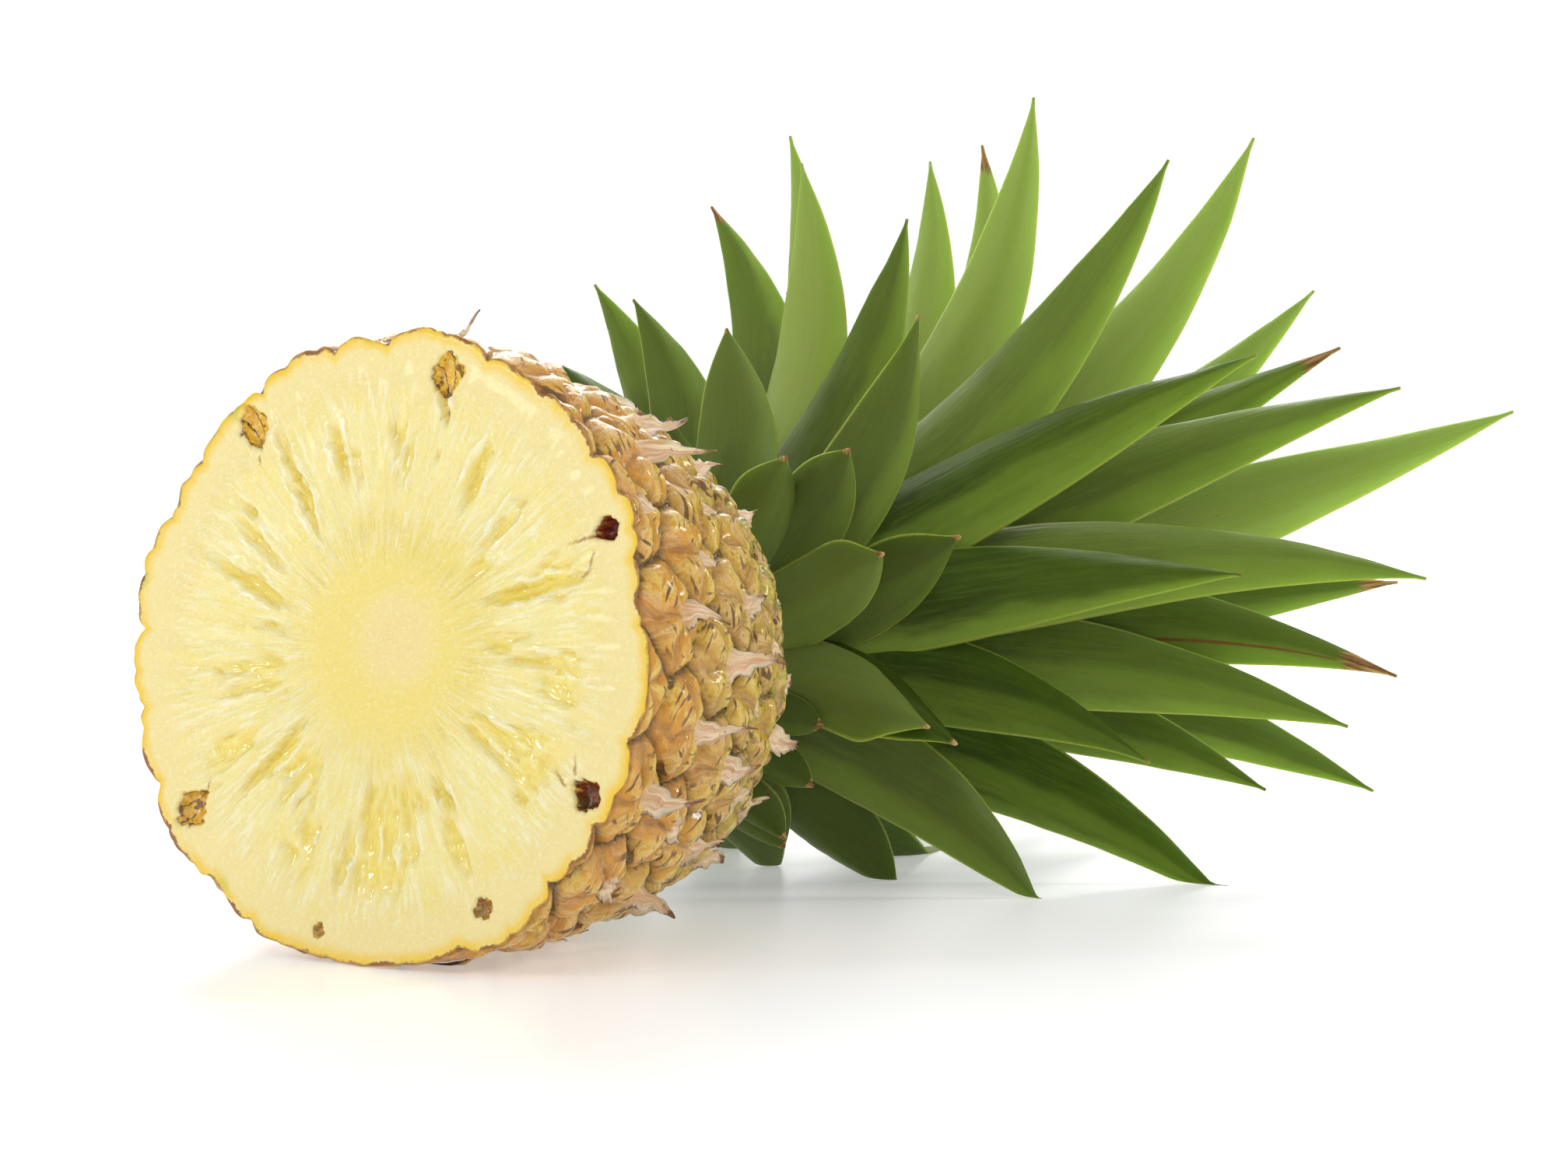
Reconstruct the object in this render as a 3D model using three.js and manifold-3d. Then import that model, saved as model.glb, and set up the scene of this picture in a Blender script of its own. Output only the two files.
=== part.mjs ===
// The crown half of a pineapple, lying on its side as it was cut.
//
// Frame: millimetres, +Z up. The origin is on the small flat spot under the fruit, X runs
// level from the cut face towards the crown, and Y is across. The fruit is one solid. The
// crown is a short tapered stem with its leaves around it, each a channel-shaped blade.

import * as THREE from 'three';
import { mergeVertices } from 'three/addons/utils/BufferGeometryUtils.js';
import Module from 'manifold-3d';

const wasm = await Module();
wasm.setup();

// ---- Driving dimensions, mm and degrees ----

const CUT_RADIUS = 61.7;        // fruit's radius at the cut face, to the troughs between eyes
const HALF_LENGTH = 87.5;       // cut face to the top of the shoulder, along the fruit's axis
const TAPER = 0.287;            // share of the radius that the flank loses on the way up
const TAPER_POWER = 1.6;        // how late the flank's taper sets in
const SHOULDER_POWER = 12;      // higher is a squarer shoulder
const SHOULDER_CLOSING = 0.4;   // lower closes the shoulder more abruptly
const FRUIT_TILT = 7.7;         // the crown end lies this much lower than the cut end
const FLAT_DEPTH = 0.8;         // how far the resting spot is pressed flat

const EYE_PITCH = 21;           // distance between neighbouring eyes at the cut face
const EYE_RELIEF = 1.5;         // how far an eye stands above its troughs
const EYE_REACH = 12.6;         // from an eye's middle to where its swelling ends
const FLAT_FROM = 12;           // the eyes are pressed away within this angle of the bottom,
const FLAT_TO = 32;             // and stand at full height beyond this one
const GOLDEN_ANGLE = 137.508;   // turn from one eye to the next in the spiral
const SMALLEST_EYE = 0.2;       // size of the eyes beside the stem, over those at the cut

const STEM_LENGTH = 46;         // crown stem, from the shoulder to its tip
const STEM_BASE_RADIUS = 20;
const STEM_TIP_RADIUS = 7;
const STEM_INSET = 0.2;         // the stem starts this share of its length inside the fruit
const STEM_ROUNDING = 0.1;      // the last share of the stem, which rounds off
const STEM_TIP_SHARE = 0.6;     // radius of the rounded end over the stem's there
const CROWN_PITCH = 0;          // the crown's axis above the level

const LEAF_BASE_LEAN = 40;      // angle from the crown's axis at the root of the lowest leaf
const LEAF_LEAN_LOSS = 34;      // how much steeper the topmost leaf starts
const LEAF_SHORT_WIDTH = 15.5;    // width of a leaf of no length, by the rule below
const LEAF_WIDTH_GAIN = 0.055;  // extra width for each mm of length
const LEAF_ROOT_SHARE = 0.55;   // width at the root over the widest width
const LEAF_WIDEST_AT = 0.4;     // where the leaf is widest, as a share of its length
const LEAF_POINT_POWER = 1.7;   // how full the leaf stays before it runs out to its point
const LEAF_CHANNEL = 0.19;      // depth of the channel over its width
const LEAF_ROOT_CHANNEL = 0.07; // the same at the root, where the leaf hugs the stem
const LEAF_OPEN_AT = 0.35;      // where the channel has reached its full depth
const LEAF_SWAY_POWER = 1.5;    // how late a leaf veers
const LEAF_ROOT_THICKNESS = 1.5;
const LEAF_TIP_THICKNESS = 0.6;
const LEAF_EDGE_THICKNESS = 0.7; // thickness at the edges over that in the middle
const LEAF_TIP_WIDTH = 0.8;
const LEAF_ROOT_DEPTH = 3;      // how far a leaf's root reaches in, until the stem stops it

const CLEARANCE = 0.3;          // gap between pieces that touch

// Facets
const AROUND = 84;
const ALONG = 18;
const ROW_CROWDING = 1.1;       // higher leaves fewer rows near the cut
const LAST_ROW = 0.9985;        // the fruit's top closes with a small flat here
const STEM_AROUND = 24;
const LEAF_STATIONS = 8;
const PATH_STEPS = 5;           // finer steps of a leaf's path between two stations

// Colours
const FLESH_AND_RIND = '#e9cf5c';
const STEM_GREEN = '#a9b46a';
const LEAF_GREEN = '#3f7a2c';

// The leaves, lowest first. turn is measured around the crown's axis from straight up
// towards -Y, height is the share of the stem below the root, lean is the angle from the
// axis at the tip, length runs along the leaf, and sway is how far it veers round the axis.
const LEAVES = [
  // turn, height, lean, length, sway
  [67, 0.02, 88, 42, -4], [150, 0.03, 50, 34, 0], [262, 0.03, 84, 44, 0],
  [8, 0.05, 82, 39, -12], [40, 0.05, 84, 38, -10], [205, 0.05, 50, 34, 0],
  [312, 0.05, 86, 46, 0], [86, 0.06, 92, 47, 13], [44, 0.12, 84, 48, -6],
  [83, 0.12, 92, 53, 19], [335, 0.12, 68, 84, -17], [114, 0.17, 78, 84, 12],
  [10, 0.18, 76, 67, -14], [72, 0.2, 86, 57, -8], [146, 0.2, 44, 66, 4], [232, 0.2, 62, 78, 0],
  [302, 0.2, 76, 82, -6], [45, 0.22, 83, 82, -17], [186, 0.22, 30, 66, 0],
  [276, 0.24, 78, 88, 0], [345, 0.25, 76, 90, -13], [69, 0.25, 79, 114, 10],
  [88, 0.3, 84, 94, 14], [47, 0.31, 73, 135, 9], [212, 0.31, 34, 98, 0],
  [325, 0.33, 78, 111, -3], [66, 0.35, 75, 156, 16], [16, 0.36, 71, 110, -6],
  [112, 0.36, 74, 123, 7], [165, 0.38, 22, 112, 4], [248, 0.38, 66, 122, 4],
  [300, 0.38, 74, 116, 0], [40, 0.4, 73, 153, -8], [359, 0.42, 72, 131, -10],
  [87, 0.43, 73, 139, 10], [280, 0.45, 72, 130, 0], [53, 0.48, 67, 166, 10],
  [347, 0.49, 71, 138, -15], [268, 0.51, 68, 158, 0], [76, 0.52, 72, 151, 16],
  [27, 0.54, 76, 157, -14], [99, 0.56, 67, 126, 9], [292, 0.58, 70, 150, 4],
  [234, 0.6, 58, 150, 2], [69, 0.61, 67, 193, -1], [340, 0.63, 76, 158, 0],
  [44, 0.65, 70, 182, -13], [190, 0.66, 14, 130, 4], [97, 0.69, 63, 157, 11],
  [5, 0.7, 63, 161, -13], [45, 0.74, 61, 167, 8], [255, 0.75, 50, 170, 4],
  [130, 0.76, 30, 120, 6], [52, 0.8, 60, 174, -8], [318, 0.8, 56, 172, 0],
  [160, 0.84, 10, 140, 6], [81, 0.86, 58, 165, 2], [9, 0.9, 66, 182, -17],
].map(([turn, height, lean, length, sway]) => ({ turn, height, lean, length, sway }));

const rad = THREE.MathUtils.degToRad;

// ---- Solids ----

// Closed triangle mesh from points and faces to a manifold solid.
function solidFrom(points, faces) {
  const geometry = new THREE.BufferGeometry().setFromPoints(points);
  geometry.setIndex(faces.flat());
  return solidOf(geometry);
}

function solidOf(geometry) {
  geometry.deleteAttribute('normal');
  geometry.deleteAttribute('uv');
  const merged = mergeVertices(geometry);
  return new wasm.Manifold(new wasm.Mesh({
    numProp: 3,
    vertProperties: merged.attributes.position.array,
    triVerts: Uint32Array.from(merged.index.array),
  }));
}

// A leaf pressed hard by its neighbours can lose a corner of its root. The leaf is the body
// that is left when the loose corner has gone.
function mainBody(solid) {
  return solid.decompose().reduce((most, body) => (body.volume() > most.volume() ? body : most));
}

function meshOf(solid, name, colour, roughness) {
  const { vertProperties, triVerts } = solid.getMesh();
  const geometry = new THREE.BufferGeometry();
  geometry.setAttribute('position', new THREE.BufferAttribute(vertProperties, 3));
  geometry.setIndex(new THREE.BufferAttribute(triVerts, 1));
  geometry.computeVertexNormals();
  const material = new THREE.MeshStandardMaterial({ color: colour, roughness, metalness: 0 });
  const mesh = new THREE.Mesh(geometry, material);
  mesh.name = name;
  return mesh;
}

// Rings of equal size joined into one closed body, with a fan over each end. Each ring is
// wound anticlockwise as seen from the end of the path.
function loft(rings) {
  const size = rings[0].length;
  const middle = (ring) => ring.reduce((sum, p) => sum.add(p), new THREE.Vector3()).divideScalar(size);
  const points = [...rings.flat(), middle(rings[0]), middle(rings.at(-1))];
  const first = rings.length * size;
  const last = (rings.length - 1) * size;
  const faces = [];
  for (let k = 0; k < size; k++) {
    const next = (k + 1) % size;
    for (let row = 0; row < last; row += size) {
      faces.push([row + k, row + next, row + size + next]);
      faces.push([row + k, row + size + next, row + size + k]);
    }
    faces.push([first, next, k], [first + 1, last + k, last + next]);
  }
  return solidFrom(points, faces);
}

// ---- The fruit ----

function fruitRadius(t) {
  const share = Math.min(t / HALF_LENGTH, 1);
  const flank = 1 - TAPER * share ** TAPER_POWER;
  return CUT_RADIUS * flank * (1 - share ** SHOULDER_POWER) ** SHOULDER_CLOSING;
}

// Eyes sit on a golden-angle spiral. The rise from one to the next shrinks with the square
// of the radius, so they stay evenly packed while they get smaller up the shoulder.
function eyeSpiral() {
  const rise = (EYE_PITCH ** 2 * Math.sqrt(3) / 2) / (2 * Math.PI * CUT_RADIUS);
  const eyes = [];
  let t = -EYE_PITCH;
  for (let k = 0; t < HALF_LENGTH - rise; k++) {
    const radius = fruitRadius(Math.max(t, 0));
    eyes.push({ angle: rad(k * GOLDEN_ANGLE), t, radius });
    t += rise * Math.max(radius / CUT_RADIUS, SMALLEST_EYE) ** 2;
  }
  return eyes;
}

// Height of the rind over its troughs. It fades out around the flat spot underneath.
function eyeLift(eyes, angle, t) {
  let nearest = 1;
  for (const eye of eyes) {
    const turn = Math.abs(((angle - eye.angle) % (2 * Math.PI) + 3 * Math.PI) % (2 * Math.PI) - Math.PI);
    const scale = Math.max(eye.radius, 1) / CUT_RADIUS;
    nearest = Math.min(nearest, Math.hypot(turn * eye.radius, t - eye.t) / (EYE_REACH * scale));
  }
  const fromBottom = Math.abs(Math.atan2(Math.sin(angle - Math.PI), Math.cos(angle - Math.PI)));
  const fade = THREE.MathUtils.smoothstep(fromBottom, rad(FLAT_FROM), rad(FLAT_TO));
  return EYE_RELIEF * fade * (1 - nearest ** 2) * fruitRadius(t) / CUT_RADIUS;
}

const fruitAxis = new THREE.Vector3(Math.cos(rad(FRUIT_TILT)), 0, -Math.sin(rad(FRUIT_TILT)));
const across = new THREE.Vector3(0, -1, 0);
const fruitUp = new THREE.Vector3().crossVectors(across, fruitAxis);

// The lowest point of the flank, as a place along the axis and a depth below the cut's centre.
function lowestOfFlank() {
  let lowest = { t: 0, depth: 0 };
  for (let t = 0; t < HALF_LENGTH; t += 0.5) {
    const depth = t * Math.sin(rad(FRUIT_TILT)) + fruitRadius(t) * Math.cos(rad(FRUIT_TILT));
    if (depth > lowest.depth) lowest = { t, depth };
  }
  return lowest;
}

const resting = lowestOfFlank();
const cutCentre = new THREE.Vector3(-resting.t * Math.cos(rad(FRUIT_TILT)), 0, resting.depth - FLAT_DEPTH);

function fruitSolid(grow) {
  const eyes = eyeSpiral();
  const rings = [];
  for (let row = 0; row <= ALONG; row++) {
    // Rows crowd towards the shoulder, where the profile turns fastest.
    const share = Math.sin((row / ALONG) * Math.PI / 2) ** ROW_CROWDING * LAST_ROW;
    const t = HALF_LENGTH * share;
    const centre = cutCentre.clone().addScaledVector(fruitAxis, t + grow * (2 * share - 1));
    const ring = [];
    for (let k = 0; k < AROUND; k++) {
      const angle = (k / AROUND) * 2 * Math.PI;
      const radius = fruitRadius(t) + eyeLift(eyes, angle, t) + grow;
      ring.push(centre.clone()
        .addScaledVector(fruitUp, radius * Math.cos(angle))
        .addScaledVector(across, radius * Math.sin(angle)));
    }
    rings.push(ring);
  }
  return loft(rings).subtract(ground(grow));
}

// Everything below the surface that the fruit rests on.
function ground(grow) {
  const size = 4 * (CUT_RADIUS + HALF_LENGTH);
  return solidOf(new THREE.BoxGeometry(size, size, size).translate(0, 0, -size / 2 - grow));
}

// ---- The crown ----

const crownAxis = new THREE.Vector3(Math.cos(rad(CROWN_PITCH)), 0, Math.sin(rad(CROWN_PITCH)));
const crownUp = new THREE.Vector3().crossVectors(across, crownAxis);
const crownRoot = cutCentre.clone().addScaledVector(fruitAxis, HALF_LENGTH);

function stemRadius(height) {
  return THREE.MathUtils.lerp(STEM_BASE_RADIUS, STEM_TIP_RADIUS, height);
}

function stemSolid(grow) {
  const heights = [-STEM_INSET, 0, 1 - STEM_ROUNDING, 1];
  const rings = heights.map((height) => {
    const tip = height === 1;
    const forward = height * STEM_LENGTH + (tip ? grow : 0);
    const radius = stemRadius(height) * (tip ? STEM_TIP_SHARE : 1) + grow;
    return ringAround(crownRoot.clone().addScaledVector(crownAxis, forward), radius, STEM_AROUND);
  });
  return loft(rings);
}

function ringAround(centre, radius, count) {
  return Array.from({ length: count }, (_, k) => centre.clone()
    .addScaledVector(crownUp, radius * Math.cos((k / count) * 2 * Math.PI))
    .addScaledVector(across, radius * Math.sin((k / count) * 2 * Math.PI)));
}

// The leaf's midline: it leaves the stem at its root lean and bows outwards to its tip lean.
function leafPath(leaf) {
  const rootLean = LEAF_BASE_LEAN - LEAF_LEAN_LOSS * leaf.height;
  const steps = LEAF_STATIONS * PATH_STEPS;
  const step = leaf.length / steps;
  let forward = leaf.height * STEM_LENGTH;
  let outward = stemRadius(leaf.height) + LEAF_ROOT_THICKNESS + CLEARANCE;
  const path = [];
  for (let k = 0; k <= steps; k++) {
    const share = k / steps;
    const turn = rad(leaf.turn + leaf.sway * share ** LEAF_SWAY_POWER);
    const radial = crownUp.clone().multiplyScalar(Math.cos(turn)).addScaledVector(across, Math.sin(turn));
    path.push({
      share,
      radial,
      point: crownRoot.clone().addScaledVector(crownAxis, forward).addScaledVector(radial, outward),
    });
    const lean = rad(THREE.MathUtils.lerp(rootLean, leaf.lean, share + 0.5 / steps));
    forward += Math.cos(lean) * step;
    outward += Math.sin(lean) * step;
  }
  return path;
}

function leafWidth(leaf, share) {
  const widest = LEAF_SHORT_WIDTH + LEAF_WIDTH_GAIN * leaf.length;
  const opening = Math.sin(Math.min(share / LEAF_WIDEST_AT, 1) * Math.PI / 2);
  const closing = Math.max(share - LEAF_WIDEST_AT, 0) / (1 - LEAF_WIDEST_AT);
  const width = widest * THREE.MathUtils.lerp(LEAF_ROOT_SHARE, 1, opening);
  return Math.max(width * (1 - closing ** LEAF_POINT_POWER), LEAF_TIP_WIDTH);
}

// A leaf's cross-section is a shallow channel, open towards the crown's axis. grow swells
// the leaf on every side.
function leafSolid(leaf, grow) {
  const path = leafPath(leaf);
  const rings = [];
  for (let station = 0; station <= LEAF_STATIONS; station++) {
    const here = path[station * PATH_STEPS];
    const before = path[Math.max(station * PATH_STEPS - 1, 0)];
    const after = path[Math.min(station * PATH_STEPS + 1, path.length - 1)];
    const along = after.point.clone().sub(before.point).normalize();
    const side = new THREE.Vector3().crossVectors(along, here.radial).normalize();
    const out = new THREE.Vector3().crossVectors(side, along);
    const width = leafWidth(leaf, here.share);
    const thickness = THREE.MathUtils.lerp(LEAF_ROOT_THICKNESS, LEAF_TIP_THICKNESS, here.share);
    const edge = thickness * LEAF_EDGE_THICKNESS;
    const half = width / 2 + grow;
    const folding = THREE.MathUtils.smoothstep(here.share, 0, LEAF_OPEN_AT);
    const curl = width * THREE.MathUtils.lerp(LEAF_ROOT_CHANNEL, LEAF_CHANNEL, folding);
    const ends = (station === LEAF_STATIONS ? grow : 0) - (station === 0 ? grow : 0);
    const centre = here.point.clone();
    if (station === 0) centre.addScaledVector(here.radial, -LEAF_ROOT_DEPTH);
    const at = (sideways, outwards) => centre.clone()
      .addScaledVector(along, ends)
      .addScaledVector(side, sideways)
      .addScaledVector(out, outwards);
    rings.push([
      at(-half, -curl + grow), at(0, grow), at(half, -curl + grow),
      at(half, -curl - edge - grow), at(0, -thickness - grow), at(-half, -curl - edge - grow),
    ]);
  }
  return loft(rings);
}

// ---- Assembly ----

const part = new THREE.Group();
part.add(meshOf(fruitSolid(0), 'fruit_half', FLESH_AND_RIND, 0.5));

const swollenFruit = fruitSolid(CLEARANCE);
const stem = stemSolid(0).subtract(swollenFruit);
part.add(meshOf(stem, 'crown_stem', STEM_GREEN, 0.6));

// Leaves stop at the stem, the fruit and the surface they lie on. Where they press on each
// other, the upper one gives way to those below it.
const below = [swollenFruit, stemSolid(CLEARANCE), ground(-CLEARANCE / 2)];
LEAVES.forEach((leaf, index) => {
  const trimmed = below.reduce((solid, neighbour) => solid.subtract(neighbour), leafSolid(leaf, 0));
  const name = `leaf_${String(index + 1).padStart(2, '0')}`;
  part.add(meshOf(mainBody(trimmed), name, LEAF_GREEN, 0.45));
  below.push(leafSolid(leaf, CLEARANCE));
});

export default part;
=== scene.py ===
# %% [markdown]
# # The crown half of a pineapple, cut across
# A pineapple was cut in two and this half lies on its side, so that its wet yellow face shows
# beside its scaly rind and the long leaves of its crown. Three things grew here: the fruit,
# which is one piece from core to rind, a short stem, and the leaves around it. The packed
# model gives each its place and size. This lesson makes their fine surfaces, one at a time.

# %% Open the frame
import math

import bpy
import numpy as np
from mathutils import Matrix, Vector


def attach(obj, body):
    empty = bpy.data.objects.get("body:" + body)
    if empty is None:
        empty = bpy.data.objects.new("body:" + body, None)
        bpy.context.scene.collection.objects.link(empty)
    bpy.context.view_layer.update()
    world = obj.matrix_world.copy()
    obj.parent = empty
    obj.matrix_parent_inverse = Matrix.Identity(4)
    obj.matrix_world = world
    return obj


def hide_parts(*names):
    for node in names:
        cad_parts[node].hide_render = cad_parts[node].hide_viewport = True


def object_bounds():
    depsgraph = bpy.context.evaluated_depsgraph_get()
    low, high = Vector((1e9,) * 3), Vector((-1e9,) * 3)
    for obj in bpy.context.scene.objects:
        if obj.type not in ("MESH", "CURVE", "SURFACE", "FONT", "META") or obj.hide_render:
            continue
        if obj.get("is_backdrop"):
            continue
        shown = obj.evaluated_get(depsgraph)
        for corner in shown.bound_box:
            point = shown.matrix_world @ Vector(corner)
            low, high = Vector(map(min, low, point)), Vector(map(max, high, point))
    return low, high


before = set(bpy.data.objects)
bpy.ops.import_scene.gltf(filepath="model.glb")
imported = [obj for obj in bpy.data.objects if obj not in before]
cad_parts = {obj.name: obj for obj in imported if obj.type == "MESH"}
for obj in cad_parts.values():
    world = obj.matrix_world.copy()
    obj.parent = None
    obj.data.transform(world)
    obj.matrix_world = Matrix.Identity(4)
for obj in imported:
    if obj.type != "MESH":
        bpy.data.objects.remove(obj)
cad_low, cad_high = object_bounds()
MM = 0.001
print("packed nodes:", len(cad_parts), "box in m:", list(cad_low), list(cad_high))

# %% [markdown]
# ## Camera
# The camera comes first, because it decides how much of each surface is seen. It stands close
# to the level of the fruit and looks past the cut face along the crown. A long lens keeps the
# far leaves from shrinking. It is aimed at a point in the middle of the whole thing.

# %% Camera
CAMERA_TURN = math.radians(-57.8)
CAMERA_RISE = math.radians(4.5)
CAMERA_DISTANCE = 0.86
CAMERA_AIM = Vector((0.0264, -0.0639, 0.0752))
LENS, SENSOR_WIDTH = 100, 36

towards_camera = Vector((
    math.sin(CAMERA_TURN) * math.cos(CAMERA_RISE),
    -math.cos(CAMERA_TURN) * math.cos(CAMERA_RISE),
    math.sin(CAMERA_RISE),
))
camera = bpy.data.objects.new("camera", bpy.data.cameras.new("camera"))
camera.data.lens = LENS
camera.data.sensor_width = SENSOR_WIDTH
camera.location = CAMERA_AIM + towards_camera * CAMERA_DISTANCE
camera.rotation_mode = "QUATERNION"
camera.rotation_quaternion = (-towards_camera).to_track_quat("-Z", "Y")
bpy.context.scene.collection.objects.link(camera)
bpy.context.scene.camera = camera
print("camera at", [round(x, 3) for x in camera.location])

# %% [markdown]
# ## Wiring nodes by arithmetic
# Materials and Geometry Nodes are both trees of nodes. Clicking them together is quick for a
# small tree, and slow to read for a large one. Here a node's output is wrapped in a `Signal`
# that can be added or multiplied like a number, so that a formula in the script looks like
# the formula it stands for. The same wrapper serves both kinds of tree.

# %% Signals
class Signal:
    """The output of a node. Arithmetic on it adds Math nodes to the same tree."""

    def __init__(self, tree, socket):
        self.tree = tree
        self.socket = socket

    def math(self, operation, *others):
        made = self.tree.nodes.new("ShaderNodeMath")
        made.operation = operation
        for socket, value in zip(made.inputs, (self, *others)):
            plug(self.tree, value, socket)
        return Signal(self.tree, made.outputs[0])

    def vector(self, operation, *others, output="Vector"):
        made = self.tree.nodes.new("ShaderNodeVectorMath")
        made.operation = operation
        vectors = [s for s in made.inputs if s.type == "VECTOR"]
        for socket, value in zip(vectors, (self, *others)):
            plug(self.tree, value, socket)
        return Signal(self.tree, made.outputs[output])

    def scaled(self, factor):
        made = self.tree.nodes.new("ShaderNodeVectorMath")
        made.operation = "SCALE"
        plug(self.tree, self, made.inputs[0])
        plug(self.tree, factor, made.inputs["Scale"])
        return Signal(self.tree, made.outputs[0])

    def between(self, low, high, start=0.0, end=1.0, smooth=True):
        """Goes from start to end while the signal goes from low to high."""
        made = self.tree.nodes.new("ShaderNodeMapRange")
        made.interpolation_type = "SMOOTHSTEP" if smooth else "LINEAR"
        for socket, value in zip(made.inputs, (self, low, high, start, end)):
            plug(self.tree, value, socket)
        return Signal(self.tree, made.outputs[0])

    def parts(self):
        made = self.tree.nodes.new("ShaderNodeSeparateXYZ")
        plug(self.tree, self, made.inputs[0])
        return [Signal(self.tree, socket) for socket in made.outputs]

    def __add__(self, other):
        return self.math("ADD", other)

    def __sub__(self, other):
        return self.math("SUBTRACT", other)

    def __rsub__(self, other):
        return self.math("MULTIPLY", -1.0).math("ADD", other)

    def __mul__(self, other):
        return self.math("MULTIPLY", other)

    def __truediv__(self, other):
        return self.math("DIVIDE", other)

    def __pow__(self, other):
        return self.math("POWER", other)

    __radd__ = __add__
    __rmul__ = __mul__


def plug(tree, value, socket):
    if isinstance(value, Signal):
        tree.links.new(value.socket, socket)
    else:
        socket.default_value = value


def add(tree, kind, inputs=None, output=0, **settings):
    """Adds one node with its settings and inputs, and gives back one of its outputs."""
    made = tree.nodes.new(kind)
    for name, value in settings.items():
        setattr(made, name, value)
    for name, value in (inputs or {}).items():
        plug(tree, value, made.inputs[name])
    return Signal(tree, made.outputs[output])


def join_parts(tree, x, y, z):
    made = tree.nodes.new("ShaderNodeCombineXYZ")
    for socket, value in zip(made.inputs, (x, y, z)):
        plug(tree, value, socket)
    return Signal(tree, made.outputs[0])


print("signals ready")

# %% [markdown]
# ## Colours and patterns for materials
# Colours are written the way a colour picker shows them, and turned into the linear values
# that a shader needs. A few small helpers cover nearly every pattern below: a mix of two
# colours, coats of colour laid over each other like paint, a soft noise, and an attribute
# that the mesh carries for its material. The looks could also be painted on images, but
# formulas stay sharp at any distance and follow the shape when a size changes.

# %% Colour helpers
def colour(code):
    """A linear colour from the usual six-digit code."""
    channels = [int(code[i:i + 2], 16) / 255 for i in (1, 3, 5)]
    linear = [c / 12.92 if c <= 0.04045 else ((c + 0.055) / 1.055) ** 2.4 for c in channels]
    return (*linear, 1.0)


def mixed(share, first, second):
    """first where share is 0 and second where it is 1. A colour may be a code or a signal."""
    tree = share.tree
    made = tree.nodes.new("ShaderNodeMix")
    made.data_type = "RGBA"
    colours = [s for s in made.inputs if s.type == "RGBA"]
    plug(tree, share, made.inputs[0])
    for socket, value in zip(colours, (first, second)):
        plug(tree, colour(value) if isinstance(value, str) else value, socket)
    return Signal(tree, next(s for s in made.outputs if s.type == "RGBA"))


def coated(base, *coats):
    """Lays coats over a base colour, one after another. Each is a share and a colour."""
    for share, paint in coats:
        base = mixed(share, base, paint)
    return base


def noise(place, scale, detail=3.0, roughness=0.5, stretch=None):
    """Soft noise from 0 to 1. stretch gives more change along one axis than along another."""
    if stretch is not None:
        place = place.vector("MULTIPLY", stretch)
    inputs = {"Vector": place, "Scale": scale, "Detail": detail, "Roughness": roughness}
    return add(place.tree, "ShaderNodeTexNoise", inputs)


def carried(tree, name, output="Fac"):
    """A value that the mesh carries under that name."""
    return add(tree, "ShaderNodeAttribute", output=output, attribute_name=name)


def relief(height, depth, strength=1.0):
    """A bump of that depth in metres, for the shader's Normal."""
    inputs = {"Height": height, "Distance": depth, "Strength": strength}
    return add(height.tree, "ShaderNodeBump", inputs)


def new_material(name):
    """An empty material with its shader, and the tree to build in."""
    material = bpy.data.materials.new(name)
    material.use_nodes = True
    tree = material.node_tree
    shader = tree.nodes["Principled BSDF"]
    return material, tree, shader


def dress(tree, shader, values):
    """Gives the shader its inputs, each a plain value or a signal."""
    for name, value in values.items():
        plug(tree, value, shader.inputs[name])


print("colour helpers ready")

# %% [markdown]
# ## The fruit's measures
# A pineapple is a swollen flower spike. Its outline is nearly straight, and closes in a round
# shoulder under the crown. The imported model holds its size, and the formula is repeated here
# in millimetres, because the fine surface has to follow it exactly. `along` is measured from
# the cut towards the crown, and `turn` goes round from the top towards the near side.

# %% Fruit measures
CUT_RADIUS = 61.7
HALF_LENGTH = 87.5
TAPER, TAPER_POWER = 0.287, 1.6
SHOULDER_POWER, SHOULDER_CLOSING = 12, 0.4
FRUIT_TILT = math.radians(7.7)
FLAT_DEPTH = 0.8


def smoothstep(value, low, high):
    share = np.clip((value - low) / (high - low), 0, 1)
    return share * share * (3 - 2 * share)


def rind_radius(along):
    share = np.clip(along / HALF_LENGTH, 0, 1)
    tapered = 1 - TAPER * share**TAPER_POWER
    closed = (1 - share**SHOULDER_POWER)**SHOULDER_CLOSING
    return CUT_RADIUS * tapered * closed


fruit_axis = np.array([math.cos(FRUIT_TILT), 0, -math.sin(FRUIT_TILT)])
across = np.array([0.0, -1.0, 0.0])
fruit_up = np.cross(across, fruit_axis)

flank = np.arange(0, HALF_LENGTH, 0.5)
depths = flank * math.sin(FRUIT_TILT) + rind_radius(flank) * math.cos(FRUIT_TILT)
rest_along = flank[depths.argmax()]
cut_centre = np.array([-rest_along * math.cos(FRUIT_TILT), 0, depths.max() - FLAT_DEPTH])
crown_root = cut_centre + HALF_LENGTH * fruit_axis

# Distance walked on the rind from the cut, for each place along the axis.
fine_along = HALF_LENGTH * np.sin(np.linspace(0, math.pi / 2, 2000))
fine_steps = np.hypot(np.diff(fine_along), np.diff(rind_radius(fine_along)))
walked = np.concatenate([[0], np.cumsum(fine_steps)])


def outwards(turn, up=fruit_up):
    """The way straight out from an axis, for each turn round it."""
    return np.outer(np.cos(turn), up) + np.outer(np.sin(turn), across)


def on_fruit(turn, along, radius):
    """Points in the shared frame, in mm, from places round, along and out from the axis."""
    return cut_centre + along[:, None] * fruit_axis + radius[:, None] * outwards(turn)


print("cut centre in mm:", cut_centre.round(2), "rind from cut to stem in mm:", round(walked[-1], 1))

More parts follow.
